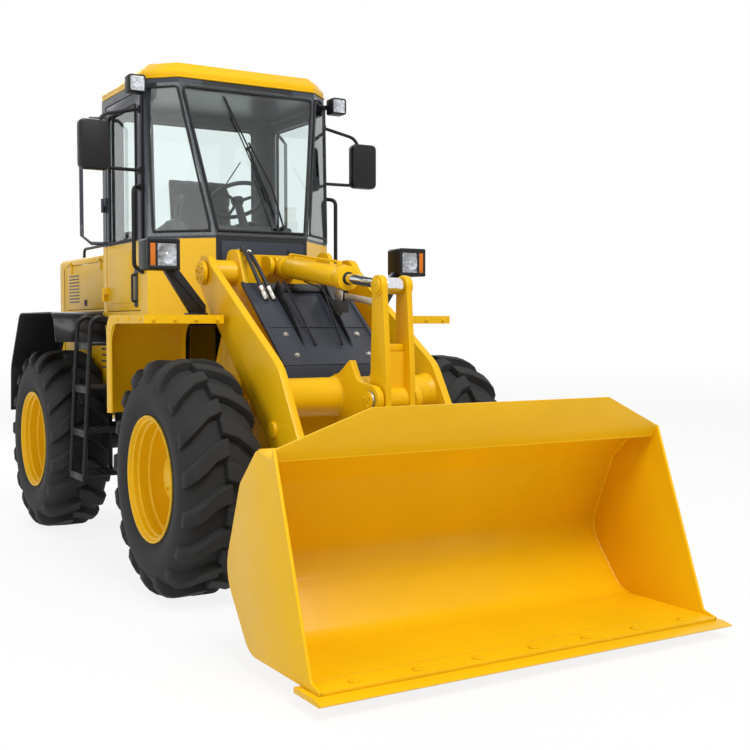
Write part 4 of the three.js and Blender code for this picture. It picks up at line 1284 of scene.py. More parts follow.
@dataclass
class Arms:
    """The fittings of the arms and crank: pins, their caps, grease nipples and weld seams."""

    arm_pivot: tuple[float, float] = (-0.29, 1.862)
    crank_top: tuple[float, float] = (-1.64, 1.75)
    crank_pivot: tuple[float, float] = (-1.65, 1.14)
    tube: tuple[float, float] = (-1.24, 1.14)
    lift_eye: tuple[float, float] = (-0.86, 1.3)

    def cap(self, name: str, at: tuple[float, float], x: float, radius: float, count: int) -> Piece:
        """A round pin cap with a ring of bolts and a grease nipple.

        Args:
            name: the piece's name.
            at: the pin's y and z.
            x: where its face starts, on the left side.
            radius: its radius.
            count: its bolts.

        Returns:
            The cap.
        """
        y, z = at
        disc = rod(name + "_disc", (x, y, z), (x + 0.008, y, z), radius, 40, 0.002)
        ring = [
            (x + 0.008, y + radius * 0.66 * math.cos(a), z + radius * 0.66 * math.sin(a))
            for a in spread_angles(count)
        ]
        heads = bolts(name + "_bolts", ring, (1, 0, 0), radius * 0.28)
        nipple = rod(name + "_nipple", (x + 0.006, y, z), (x + 0.018, y, z), 0.006, 8, 0.001, 0.003)
        return merged(name, [disc, heads, nipple])

    def boom_fittings(self) -> None:
        """The weld seams of the cross tube, the lift pins and the caps at the arms' tips."""
        y, z = self.tube
        collars = []
        for side, x in SIDES:
            ring = [(0.1075, x * 0.447), (0.118, x * 0.47), (0.12, x * 0.4777), (0.1075, x * 0.4777)]
            collars.append(spun(f"tube_weld_{side}", ring, (0, y, z), 48))
            bracket = [(0.1075, x * 0.139), (0.116, x * 0.139), (0.1075, x * 0.15)]
            collars.append(spun(f"bracket_weld_{side}", bracket, (0, y, z), 48))
        weld = merged("boom_welds", collars)
        dressed(weld, Finish.YELLOW, "boom")
        ly, lz = self.lift_eye
        pin = rod("lift_pin_left", (0.37, ly, lz), (0.474, ly, lz), 0.0315, 32, 0.002)
        both_sides(pin, Finish.STEEL, "boom")
        tip = self.cap("arm_tip_cap_left", (-1.86, 0.36), 0.5702, 0.046, 2)
        both_sides(tip, Finish.YELLOW, "bucket_pins")

    def crank_fittings(self) -> None:
        """The caps and stiffening rings of the bell crank and its pins."""
        y, z = self.crank_pivot
        cap = self.cap("crank_pin_cap_left", self.crank_pivot, 0.1535, 0.048, 3)
        both_sides(cap, Finish.YELLOW, "crank_pin")
        profile = rectangle(0.042, 0.091, 0.056, 0.0985)
        both_sides(spun("crank_boss_left", profile, (0, *self.crank_top), 40), Finish.YELLOW, "bell_crank")
        bar = block("crank_web_top", (-0.059, y - 0.012, z + 0.262), (0.059, y + 0.012, z + 0.30), 0.004)
        dressed(bar, Finish.YELLOW, "bell_crank")

    def arm_pin_covers(self) -> None:
        """The bolted covers of the arms' rear pins, on the front frame."""
        cover = self.cap("arm_pin_cover_left", self.arm_pivot, 0.5462, 0.07, 6)
        both_sides(cover, Finish.YELLOW, "front_body")

    def build(self) -> None:
        """Make all the fittings."""
        self.boom_fittings()
        self.crank_fittings()
        self.arm_pin_covers()


def spread_angles(count: int, start: float = 0.3) -> list[float]:
    """Evenly spaced angles round a circle."""
    return [start + math.tau * i / count for i in range(count)]


@dataclass
class Cylinder:
    """A hydraulic cylinder's gland, rings, ports and pipe, over its plain CAD barrel."""

    name: str
    foot: Point
    eye: Point
    radius: float
    length: float
    rod_radius: float
    body: str
    finish: Finish
    port_side: Point

    def at(self, distance: float) -> Vector:
        """The point of the cylinder's axis at a distance from its foot."""
        foot = Vector(self.foot)
        return foot + (Vector(self.eye) - foot).normalized() * distance

    def build(self) -> None:
        """Make the gland, the rings, the ports and their pipe."""
        r, gland = self.radius, self.length
        head = rod(
            self.name + "_gland", self.at(gland - 0.075), self.at(gland + 0.004), r + 0.007, 40, 0.003
        )
        collar = rod(self.name + "_collar", self.at(0.07), self.at(0.12), r + 0.005, 40, 0.003)
        wiper = rod(
            self.name + "_wiper", self.at(gland + 0.002), self.at(gland + 0.009), self.rod_radius + 0.009,
            32, 0.002,
        )
        out = Vector(self.port_side)
        ports = []
        for d in (0.14, gland - 0.11):
            base = self.at(d)
            ports.append(
                rod(
                    self.name + "_port", base + out * (r - 0.004), base + out * (r + 0.026), 0.017, 20,
                    0.002,
                ),
            )
        line = [
            self.at(0.14) + out * (r + 0.022), self.at(0.2) + out * (r + 0.022),
            self.at(gland - 0.11) + out * (r + 0.022),
        ]
        tube = pipe(self.name + "_line", [tuple(p) for p in line], 0.0075, 0.02)
        pieces = [head, collar, *ports, tube]
        if self.name.endswith("left"):
            both_sides(merged(self.name.replace("_left", "_trim_left"), pieces), self.finish, self.body)
            wiper.name = self.name.replace("_left", "_wiper_left")
            both_sides(wiper, Finish.SEAL, self.body)
        else:
            dressed(merged(self.name + "_trim", pieces), self.finish, self.body)
            dressed(wiper, Finish.SEAL, self.body)


def build_positioner() -> None:
    """The bucket positioner: a flat bar on the tilt rod that slides past a switch on the barrel."""
    foot, eye = Vector((0, -0.29, 1.915)), Vector((0, -1.64, 1.75))
    along = (eye - foot).normalized()
    down = Vector((0, -along.z, along.y))

    def at(distance: float, drop: float, x: float = 0.0) -> tuple[float, ...]:
        """A point beside the cylinder's axis."""
        return tuple(foot + along * distance + down * drop + Vector((x, 0, 0)))

    def laid(name: str, start: float, end: float, drops: tuple[float, float], half: float) -> Piece:
        """A bar that lies along the cylinder.

        Args:
            name: its name.
            start: the distance of its first end from the foot.
            end: the distance of its other end.
            drops: how far its two faces are below the axis.
            half: half its width.

        Returns:
            The bar.
        """
        piece = block(name, (-half, start, drops[0]), (half, end, drops[1]), 0.003)
        turn = Matrix((Vector((1, 0, 0)), along, down)).transposed().to_4x4()
        piece.data.transform(Matrix.Translation(foot) @ turn)
        return piece

    bar = laid("positioner_bar", 0.74, 1.31, (0.086, 0.124), 0.006)
    hanger = laid("positioner_hanger", 1.26, 1.31, (0.03, 0.1), 0.007)
    dressed(merged("positioner_bar", [bar, hanger]), Finish.ZINC, "tilt_rod")
    case = laid("positioner_case", 0.77, 0.86, (0.13, 0.2), 0.03)
    arm = laid("positioner_arm", 0.79, 0.84, (0.062, 0.15), 0.006)
    arm.data.transform(Matrix.Translation((0.024, 0, 0)))
    plug = rod("positioner_plug", at(0.81, 0.198), at(0.81, 0.22), 0.013, 20, 0.002)
    dressed(merged("positioner_switch", [case, arm, plug]), Finish.PLASTIC, "tilt_barrel")
    cheek = laid("positioner_guide", 0.78, 0.85, (0.074, 0.14), 0.003)
    cheek.data.transform(Matrix.Translation((-0.013, 0, 0)))
    dressed(cheek, Finish.ZINC, "tilt_barrel")
    run = [
        at(0.81, 0.22), at(0.77, 0.225, 0.01), at(0.6, 0.14, 0.034), at(0.45, 0.085, 0.036),
        at(0.3, 0.07, 0.02),
    ]
    wire = pipe("positioner_wire", run, 0.0045, 0.04)
    dressed(wire, Finish.HOSE, "tilt_barrel")


def build_cylinders() -> None:
    """Dress the lift, tilt and steering cylinders."""
    lift = Cylinder(
        "lift_cylinder_left", (0.416, 0.06, 0.64), (0.416, -0.86, 1.3), 0.048, 1.036, 0.029,
        "lift_barrel_left", Finish.YELLOW, (0, 0.5829, 0.8125),
    )
    tilt = Cylinder(
        "tilt_cylinder", (0, -0.29, 1.915), (0, -1.64, 1.75), 0.064, 0.878, 0.029,
        "tilt_barrel", Finish.YELLOW, (0, -0.1213, 0.9926),
    )
    steer = Cylinder(
        "steering_cylinder_left", (0.36, 1.23, 0.7), (0.255, 0.43, 0.7), 0.033, 0.52, 0.018,
        "steering_barrel_left", Finish.BLACK, (0, 0, 1),
    )
    for cylinder in (lift, tilt, steer):
        cylinder.build()


# ---------------------------------------------------------------- front half


@dataclass
class FrontCover:
    """The sloping slate cover between the arms, with its brackets, hoses and fasteners."""

    low: tuple[float, float] = (-1.06, 1.306)
    high: tuple[float, float] = (-0.46, 1.801)

    def on(self, x: float, share: float, lift: float = 0.0) -> Point:
        """A point on the slope.

        Args:
            x: its X.
            share: 0 at the slope's foot, 1 at its top.
            lift: how far it stands off the slope.

        Returns:
            The point.
        """
        (y0, z0), (y1, z1) = self.low, self.high
        length = math.hypot(y1 - y0, z1 - z0)
        out = (-(z1 - z0) / length, (y1 - y0) / length)
        return (x, y0 + (y1 - y0) * share + out[0] * lift, z0 + (z1 - z0) * share + out[1] * lift)

    def normal(self) -> Vector:
        """The direction that the slope faces."""
        (y0, z0), (y1, z1) = self.low, self.high
        return Vector((0, z0 - z1, y1 - y0)).normalized()

    def strip(self, name: str, start: Point, end: Point, wide: float, thick: float) -> Piece:
        """A straight flat strip laid on the slope.

        Args:
            name: the piece's name.
            start: the middle of its first end.
            end: the middle of its other end.
            wide: its width.
            thick: how far it stands out.

        Returns:
            The strip.
        """
        a, b = Vector(start), Vector(end)
        along = (b - a).normalized()
        out = self.normal()
        side = along.cross(out).normalized()
        piece = block(name, (0, -wide / 2, 0), ((b - a).length, wide / 2, thick), 0.0015)
        turn = Matrix((along, side * -1, out)).transposed().to_4x4()
        if turn.determinant() < 0:
            turn = Matrix((along, side, out)).transposed().to_4x4()
        piece.data.transform(Matrix.Translation(a) @ turn)
        return piece

    def panel_lines(self) -> None:
        """The folded edges, the stiffening ribs and the fasteners of the cover."""
        parts = [
            self.strip(f"cover_edge_{side}", self.on(x * 0.343, 0.0), self.on(x * 0.343, 1.0), 0.022, 0.007)
            for side, x in SIDES
        ]
        parts += [
            self.strip("cover_foot", self.on(-0.33, 0.02), self.on(0.33, 0.02), 0.02, 0.006),
            self.strip("cover_fold", self.on(-0.33, 0.45), self.on(0.33, 0.45), 0.012, 0.004),
        ]
        dressed(merged("cover_ribs", parts), Finish.SLATE, "front_body")
        out = tuple(self.normal())
        spots = [self.on(x, share, 0.0) for x in (-0.24, 0.24) for share in (0.12, 0.36)]
        heads = bolts("cover_bolts", spots, out, 0.026)
        foot_spots = [(x, self.low[0], 1.15) for x in (-0.28, -0.1, 0.1, 0.28)]
        foot_heads = bolts("cover_foot_bolts", foot_spots, (0, -1, 0), 0.022)
        dressed(merged("cover_fasteners", [heads, foot_heads]), Finish.ZINC, "front_body")

    def brackets(self) -> None:
        """The two long tapered ribs and the two struts that stand on the cover."""
        made = []
        for x in (-0.16, 0.16):
            line = [
                self.on(x, 0.2)[1:], self.on(x, 0.9)[1:], self.on(x, 0.9, 0.085)[1:],
                self.on(x, 0.3, 0.022)[1:],
            ]
            made += [
                plate(f"cover_gusset_{x}", line, (x - 0.004, x + 0.004), edge=0.0015),
                pipe(
                    f"cover_strut_{x}", [self.on(x * 0.55, 0.22, 0.012), self.on(x * 0.8, 0.88, 0.09)],
                    0.007, 0.02,
                ),
            ]
        made.append(self.strip("gusset_foot", self.on(-0.18, 0.9), self.on(0.18, 0.9), 0.03, 0.012))
        dressed(merged("cover_brackets", made), Finish.BLACK, "front_body")

    def hoses(self) -> None:
        """The two pressure hoses that arch from the cover's top to the tilt cylinder's lug."""
        sizes = []
        for index, (x, rise) in enumerate(((-0.20, 0.10), (-0.255, 0.14))):
            start, end = Vector(self.on(x, 0.80, 0.015)), Vector((x + 0.02, -0.205, 1.985))
            points = []
            for step in range(21):
                t = step / 20
                arch = 4 * t * (1 - t)
                points.append(start.lerp(end, t) + Vector((-0.06 * arch, -0.02 * arch, rise * arch)))
            hose = pipe(f"arch_hose_{index}", [tuple(p) for p in points], 0.013, 0.03)
            length = sum((b - a).length for a, b in zip(points, points[1:]))
            sizes.append(length)
            dressed(hose, Finish.HOSE, "front_body")
            ends = []
            for at, toward in ((points[0], points[1]), (points[-1], points[-2])):
                way = (toward - at).normalized()
                ends += [
                    rod("hose_nut", at - way * 0.02, at + way * 0.03, 0.018, 6, 0.002),
                    rod("hose_ferrule", at + way * 0.028, at + way * 0.07, 0.0165, 20, 0.002),
                ]
            dressed(merged(f"arch_hose_fittings_{index}", ends), Finish.ZINC, "front_body")
        log.info("arched hoses: %s m", [round(size, 2) for size in sizes])

    def build(self) -> None:
        """Make everything on the cover."""
        self.panel_lines()
        self.brackets()
        self.hoses()


@dataclass
class Headlight:
    """A boxed work headlight with its brow, clear lens, amber signal and stalk."""

    x: float = 0.863
    y: float = -0.424
    z: float = 1.955

    def build(self) -> None:
        """Make the left light and its mirror image."""
        x, y, z = self.x, self.y, self.z
        shell_line = rectangle(x - 0.1, z - 0.092, x + 0.1, z + 0.092, 0.02)
        shell = plate("headlight_shell_left", shell_line, (y - 0.07, y + 0.075), Axis.Y, 0.006)
        hood = [
            block("brow", (x - 0.1, y - 0.09, z + 0.062), (x + 0.1, y - 0.06, z + 0.092), 0.009, 3),
            block("cheek_a", (x - 0.1, y - 0.089, z - 0.088), (x - 0.079, y - 0.06, z + 0.08), 0.008, 3),
            block("cheek_b", (x + 0.081, y - 0.089, z - 0.088), (x + 0.1, y - 0.06, z + 0.08), 0.008, 3),
            block("chin", (x - 0.1, y - 0.09, z - 0.092), (x + 0.1, y - 0.06, z - 0.067), 0.008, 3),
            block("post", (x + 0.036, y - 0.086, z - 0.08), (x + 0.052, y - 0.06, z + 0.08), 0.004),
        ]
        stalk_line = [
            (x - 0.09, z - 0.05), (x - 0.03, z - 0.093), (0.672, 1.613), (0.575, 1.613), (0.575, 1.66)
        ]
        stalk = plate("stalk", stalk_line, (y - 0.018, y + 0.028), Axis.Y, 0.005)
        rib = pipe("stalk_rib", [(0.60, y - 0.02, 1.64), (x - 0.05, y - 0.02, z - 0.08)], 0.006, 0.01)
        foot = block("foot", (0.572, y - 0.04, 1.6003), (0.69, y + 0.05, 1.614), 0.003)
        cap = rod("rear_cap", (x - 0.02, y + 0.07, z), (x - 0.02, y + 0.0745, z), 0.05, 32, 0.001)
        shell = merged("headlight_looks_left", [shell, *hood, stalk, rib, foot, cap])
        both_sides(shell, Finish.BLACK, "front_body", "headlight_left")
        bowl = spun(
            "headlight_bowl_left",
            [
                (0.002, -0.0725), (0.03, -0.0735), (0.055, -0.0765), (0.062, -0.0805), (0.064, -0.078),
                (0.03, -0.0715), (0.002, -0.071),
            ],
            (x - 0.022, y, z), 40, Axis.Y,
        )
        backing = block(
            "headlight_backing_left", (x - 0.084, y - 0.0705, z - 0.077),
            (x + 0.0455, y - 0.0695, z + 0.075), 0.0002, 1,
        )
        # The bowl and its backing glow with painted light, a painted reflection of the sky.
        both_sides(merged("headlight_bowl_left", [bowl, backing]), Finish.GLOW, "front_body")
        bulb = spun(
            "headlight_bulb_left", [(0.001, -0.074), (0.008, -0.0745), (0.008, -0.083), (0.001, -0.086)],
            (x - 0.022, y, z), 20, Axis.Y,
        )
        both_sides(bulb, Finish.CHROME, "front_body")
        lens = block(
            "headlight_lens_left", (x - 0.082, y - 0.0835, z - 0.072), (x + 0.04, y - 0.08, z + 0.067),
            0.0015,
        )
        both_sides(lens, Finish.LENS, "front_body")
        signal = block(
            "headlight_signal_left", (x + 0.0505, y - 0.0845, z - 0.072),
            (x + 0.0825, y - 0.071, z + 0.067), 0.003,
        )
        both_sides(signal, Finish.AMBER, "front_body")
        feet = bolts(
            "headlight_bolts_left", [(0.6, y + 0.03, 1.614), (0.66, y + 0.03, 1.614)], (0, 0, 1), 0.016
        )
        both_sides(feet, Finish.ZINC, "front_body")


@dataclass
class FrontFenders:
    """The bolts and edge beads of the yellow front fenders."""

    outer: float = 1.045

    def build(self) -> None:
        """Make the left fender's trim and its mirror image."""
        spots = [(0.60 + i * 0.13, -0.675, 1.572) for i in range(4)]
        heads = bolts("fender_bolts_left", spots, (0, -1, 0), 0.02)
        side = bolts(
            "fender_side_bolts_left", [(self.outer, y, 1.575) for y in (-0.6, -0.4, -0.2)], (1, 0, 0), 0.018
        )
        both_sides(merged("fender_bolts_left", [heads, side]), Finish.YELLOW, "front_body")
        line = [
            (self.outer - 0.004, -0.672, 1.556), (self.outer - 0.004, -0.15, 1.556),
            (self.outer - 0.004, -0.07, 1.46), (self.outer - 0.004, -0.07, 1.01),
        ]
        bead = pipe("fender_bead_left", line, 0.0045, 0.05, 2)
        both_sides(bead, Finish.YELLOW, "front_body")


# ---------------------------------------------------------------- cab


@dataclass
class Cab:
    """The cab's seals, handles, wiper, mirrors, lamps and controls."""

    half: float = 0.67
    waist: float = 2.1
    eaves: float = 3.15
    nose_half: float = 0.325
    brow_half: float = 0.5
    front_y: float = -0.02
    brow_y: float = 0.2025
    pane_z: tuple[float, float] = (2.15, 3.09)

    def front(self, share: float, z: float, off: float = 0.0) -> Point:
        """A point on the front pane.

        Args:
            share: -1 at its right edge, 1 at its left edge.
            z: its level.
            off: how far it stands in front of the cab's wall.

        Returns:
            The point.
        """
        high = (z - self.waist) / (self.eaves - self.waist)
        half = self.nose_half + (self.brow_half - self.nose_half) * high
        y = self.front_y + (self.brow_y - self.front_y) * high
        return (share * half, y - off, z + off * 0.21)

    def corner(self, share: float, z: float, off: float = 0.0) -> Point:
        """A point on the left corner pane.

        Args:
            share: 0 at its front edge, 1 at its rear edge.
            z: its level.
            off: how far it stands off the wall.

        Returns:
            The point.
        """
        high = (z - self.waist) / (self.eaves - self.waist)
        a = Vector(self.front(1.0, z))
        b = Vector((self.half, 0.33 + 0.045 * high, z))
        out = Vector((b.y - a.y, a.x - b.x, 0)).normalized()
        return tuple(a.lerp(b, share) + out * off)

    def seals(self) -> None:
        """The black rubber round every pane."""
        low, top = self.pane_z
        inset = 0.0105
        ends = 0.055
        rims = []
        front = [
            self.front(s, z, inset)
            for s, z in ((-0.945, low), (0.945, low), (0.962, top), (-0.962, top))
        ]
        rims.append(pipe("front_seal", [*front, *front[:2]], 0.008, 0.03, 2))
        for side, x in SIDES:
            pane = [self.corner(s, z, inset) for s, z in ((ends, low), (0.9, low), (0.9, top), (ends, top))]
            ring = [(x * p[0], p[1], p[2]) for p in (*pane, pane[0], pane[1])]
            rims.append(pipe(f"corner_seal_{side}", ring, 0.008, 0.03, 2))
        rear = [
            (-0.515, 1.272, 2.195), (0.515, 1.272, 2.195), (0.515, 1.272, 3.035), (-0.515, 1.272, 3.035)
        ]
        rims.append(pipe("rear_seal", [*rear, *rear[:2]], 0.009, 0.04, 2))
        dressed(merged("cab_seals", rims), Finish.SEAL, "rear_body")
        y0, y1, z0, z1 = 0.541, 1.119, 2.121, 3.019
        pane = [(0.669, y0, z0), (0.669, y1, z0), (0.669, y1, z1), (0.669, y0, z1)]
        seal = pipe("door_seal_left", [*pane, *pane[:2]], 0.009, 0.04, 2)
        both_sides(seal, Finish.SEAL, "cab_door_left")

    def doors(self) -> None:
        """The door handles with their locks, the pressed panels and the inner pulls."""
        grip = pipe(
            "door_handle_left",
            [(0.667, 0.555, 1.88), (0.697, 0.555, 1.88), (0.697, 0.555, 1.70), (0.667, 0.555, 1.70)],
            0.0095, 0.02,
        )
        plate_piece = plate(
            "door_handle_plate_left",
            rectangle(0.52, 1.66, 0.59, 1.92, 0.02),
            (0.6675, 0.673), edge=0.0015,
        )
        lock = rod("door_lock_left", (0.672, 0.575, 1.94), (0.68, 0.575, 1.94), 0.014, 24, 0.002)
        both_sides(merged("door_handle_left", [grip, plate_piece, lock]), Finish.PLASTIC, "cab_door_left")
        press = plate(
            "door_pressing_left",
            rectangle(0.64, 1.69, 1.13, 2.05, 0.03),
            (0.6675, 0.6725), edge=0.003,
        )
        both_sides(press, Finish.YELLOW, "cab_door_left")
        inner = pipe(
            "door_pull_left", [
                (0.625, 0.6, 2.14), (0.585, 0.6, 2.14), (0.585, 1.0, 2.14), (0.625, 1.0, 2.14)
            ], 0.011, 0.03
        )
        both_sides(inner, Finish.PLASTIC, "cab_door_left")

    def wiper(self) -> None:
        """The front wiper: its spindle, two parallel arms, blade and rubber."""
        base_a, base_b = self.front(0.42, 2.178, 0.012), self.front(0.27, 2.172, 0.012)
        made = [
            rod("wiper_spindle", base_a, self.front(0.42, 2.178, 0.045), 0.016, 20, 0.003),
            rod("wiper_pivot", base_b, self.front(0.27, 2.172, 0.04), 0.012, 20, 0.003),
            pipe(
                "wiper_arm",
                [
                    self.front(0.42, 2.178, 0.04), self.front(0.2, 2.45, 0.05),
                    self.front(-0.12, 2.74, 0.035),
                ],
                0.0065, 0.1,
            ),
            pipe(
                "wiper_link", [self.front(0.27, 2.172, 0.036), self.front(-0.14, 2.69, 0.034)], 0.0045, 0.1
            ),
            rod(
                "wiper_clip", self.front(-0.14, 2.7, 0.022), self.front(-0.14, 2.7, 0.044), 0.014, 16, 0.002
            ),
            pipe(
                "wiper_blade",
                [
                    self.front(0.16, 2.36, 0.025), self.front(-0.13, 2.71, 0.03),
                    self.front(-0.4, 3.04, 0.025),
                ],
                0.0055, 0.2,
            ),
        ]
        dressed(merged("wiper_frame", made), Finish.BLACK, "rear_body")
        strip = pipe(
            "wiper_rubber", [self.front(0.17, 2.35, 0.015), self.front(-0.41, 3.05, 0.015)], 0.0045, 0.1, 2
        )
        dressed(strip, Finish.SEAL, "rear_body")
        rear = [
            rod("rear_wiper_hub", (0.0, 1.272, 2.215), (0.0, 1.31, 2.215), 0.018, 24, 0.003),
            pipe(
                "rear_wiper_arm", [(0.0, 1.303, 2.215), (0.2, 1.30, 2.45), (0.3, 1.288, 2.6)], 0.0055, 0.05
            ),
            pipe("rear_wiper_blade", [(0.16, 1.281, 2.42), (0.42, 1.281, 2.80)], 0.005, 0.05),
        ]
        dressed(merged("rear_wiper", rear), Finish.BLACK, "rear_body")

    def mirrors(self) -> None:
        """The mirror heads with their glass, the rails' brackets and the work lamps' lenses."""
        shell_line = rectangle(0.9, 2.54, 1.1, 2.86, 0.035)
        shell = plate("mirror_shell_left", shell_line, (0.352, 0.4255), Axis.Y, 0.014)
        glass_line = rectangle(0.916, 2.556, 1.084, 2.844, 0.025)
        glass = plate("mirror_glass_left", glass_line, (0.4245, 0.4268), Axis.Y, 0.0008)
        both_sides(glass, Finish.MIRROR, "rear_body")
        tubes = [
            pipe(
                "rail",
                [(0.686, 0.415, 1.91), (0.752, 0.35, 1.92), (0.752, 0.35, 2.44), (0.686, 0.415, 2.45)],
                0.0138, 0.045, 6,
            ),
            pipe(
                "arm",
                [
                    (0.686, 0.415, 2.56), (0.93, 0.398, 2.56), (1.0, 0.39, 2.66), (1.0, 0.39, 2.80),
                    (0.93, 0.398, 2.905), (0.686, 0.415, 2.96),
                ],
                0.0115, 0.09, 6,
            ),
            block("strip", (0.6703, 0.39, 1.88), (0.684, 0.44, 3.12), 0.003),
        ]
        tubes += [
            block(f"clamp_{z}", (0.683, 0.392, z - 0.022), (0.7, 0.438, z + 0.022), 0.004)
            for z in (1.91, 2.45, 2.56, 2.96)
        ]
        tubes.append(block("lamp_arm", (0.683, 0.36, 3.085), (0.716, 0.41, 3.115), 0.003))
        lamp_line = rectangle(0.686, 3.042, 0.8, 3.156, 0.014)
        tubes.append(plate("lamp_body", lamp_line, (0.283, 0.368), Axis.Y, 0.006))
        rim_line = [
            (x, 0.2755, z)
            for x, z in ((0.692, 3.048), (0.794, 3.048), (0.794, 3.15), (0.692, 3.15))
        ]
        rim = pipe("lamp_rim", [*rim_line, *rim_line[:2]], 0.0052, 0.015, 3)
        fins = [
            block(f"fin_{i}", (0.70 + i * 0.017, 0.36, 3.06), (0.706 + i * 0.017, 0.3695, 3.14), 0.001)
            for i in range(6)
        ]
        both_sides(
            merged("mirror_and_lamp_looks_left", [shell, *tubes, rim, *fins]), Finish.BLACK, "rear_body",
            "mirror_and_lamp_left",
        )
        lens_line = rectangle(0.697, 3.053, 0.789, 3.145, 0.01)
        # A plate behind the work lamp's lens glows with painted light, a painted reflection of the sky.
        both_sides(
            plate("lamp_glow_left", lens_line, (0.279, 0.2835), Axis.Y, 0.001), Finish.GLOW, "rear_body"
        )
        lens = plate("lamp_lens_left", lens_line, (0.2702, 0.2715), Axis.Y, 0.0004)
        both_sides(lens, Finish.LENS, "rear_body")

    def roof(self) -> None:
        """The roof's drip rail and its raised panel's fasteners."""
        corners = [
            (0.5, 0.198), (0.672, 0.372), (0.672, 1.272), (-0.672, 1.272), (-0.672, 0.372), (-0.5, 0.198)
        ]
        ring = [(x * 0.997, y, 3.158) for x, y in corners]
        rail = pipe("drip_rail", [*ring, *ring[:2]], 0.0065, 0.03, 2)
        dressed(rail, Finish.YELLOW, "rear_body")
        spots = [(x, y, 3.262) for x in (-0.4, 0.4) for y in (0.45, 0.85)]
        dressed(bolts("roof_bolts", spots, (0, 0, 1), 0.014), Finish.ZINC, "rear_body")

    def controls(self) -> None:
        """The steering wheel and column, dash, gauges, pedals, side console and floor mat."""
        hub, tilt = Vector((0, 0.395, 2.4)), Vector((0, 0.19, 0.3)).normalized()
        turn = Matrix.Translation(hub) @ Vector((0, 0, 1)).rotation_difference(tilt).to_matrix().to_4x4()
        begin()
        bpy.ops.mesh.primitive_torus_add(
            major_radius=0.19, minor_radius=0.0145, major_segments=64, minor_segments=16
        )
        ring = settle("wheel_ring")
        parts = [ring]
        for angle in spread_angles(3, math.pi / 2):
            tip = (0.186 * math.cos(angle), 0.186 * math.sin(angle), 0.0)
            parts.append(rod("wheel_spoke", (0, 0, -0.012), tip, 0.013, 16, 0.001, 0.008))
        parts.append(
            spun(
                "wheel_boss",
                [(0.001, -0.03), (0.04, -0.028), (0.045, 0.004), (0.03, 0.014), (0.001, 0.016)], (0, 0, 0),
                32, Axis.Z,
            ),
        )
        for part in parts:
            part.data.transform(turn)
        parts.append(rod("column", (0, 0.215, 2.115), tuple(hub - tilt * 0.03), 0.033, 24, 0.003, 0.026))
        pod = plate(
            "column_pod",
            [(0.09, 1.6405), (0.25, 1.6405), (0.262, 2.14, 0.02), (0.235, 2.17, 0.02), (0.15, 2.15, 0.02)],
            (-0.085, 0.085), Axis.X, 0.012,
        )
        parts.append(pod)
        dash = plate(
            "dash", [(0.06, 2.115, 0.01), (0.225, 2.115, 0.01), (0.25, 2.19, 0.015), (0.1, 2.2, 0.02)],
            (-0.27, 0.27), Axis.X, 0.01,
        )
        parts.append(dash)
        parts += [
            rod(f"gauge_{i}", (x, 0.225, 2.15), (x, 0.246, 2.166), 0.028, 32, 0.002)
            for i, x in enumerate((-0.16, 0.0, 0.16))
        ]
        for x in (-0.14, 0.14):
            parts += [
                block(f"pedal_{x}", (x - 0.035, 0.27, 1.66), (x + 0.035, 0.29, 1.79), 0.004),
                rod(f"pedal_arm_{x}", (x, 0.28, 1.7), (x * 0.8, 0.17, 1.69), 0.008, 12, 0.001),
            ]
        dressed(merged("steering_looks", parts), Finish.PLASTIC, "rear_body", "steering_column")
        console = [
            plate(
                "console",
                [(0.5, 1.641), (0.98, 1.641), (0.98, 2.2, 0.04), (0.62, 2.26, 0.05), (0.5, 2.18, 0.04)],
                (-0.42, -0.29), Axis.X, 0.012,
            ),
        ]
        for i, y in enumerate((0.58, 0.66)):
            lever = pipe(
                f"lever_{i}", [(-0.355, y, 2.2), (-0.35, y - 0.03, 2.33), (-0.345, y - 0.04, 2.4)], 0.006,
                0.05,
            )
            knob = spun(
                f"knob_{i}",
                [(0.001, -0.024), (0.016, -0.018), (0.021, 0.004), (0.014, 0.02), (0.001, 0.025)],
                (-0.345, y - 0.04, 2.41), 24, Axis.Z,
            )
            console += [lever, knob]
        dressed(merged("side_console", console), Finish.TRIM, "rear_body")
        mat_line = [(-0.33, 0.09), (0.33, 0.09), (0.6, 0.38), (0.6, 1.2), (-0.6, 1.2), (-0.6, 0.38)]
        mat = plate("floor_mat", mat_line, (1.6403, 1.646), Axis.Z, 0.001)
        dressed(mat, Finish.SEAL, "rear_body")

    def nose(self) -> None:
        """The dark panel under the front pane, with its vent and the washer cap."""
        panel_line = [(-0.285, 1.66, 0.02), (0.285, 1.66, 0.02), (0.3, 2.085, 0.02), (-0.3, 2.085, 0.02)]
        panel = plate("nose_panel", panel_line, (-0.028, -0.0203), Axis.Y, 0.003)
        slots = [
            block(
                f"nose_slat_{i}", (-0.2, -0.034, 1.78 + i * 0.035), (0.2, -0.0275, 1.795 + i * 0.035), 0.002
            )
            for i in range(6)
        ]
        cap = rod("washer_cap", (0.2, -0.028, 2.03), (0.2, -0.045, 2.03), 0.022, 24, 0.003)
        dressed(merged("nose_panel", [panel, *slots, cap]), Finish.SLATE, "rear_body")

    def build(self) -> None:
        """Make the cab's trim."""
        self.seals()
        self.doors()
        self.wiper()
        self.mirrors()
        self.roof()
        self.controls()
        self.nose()


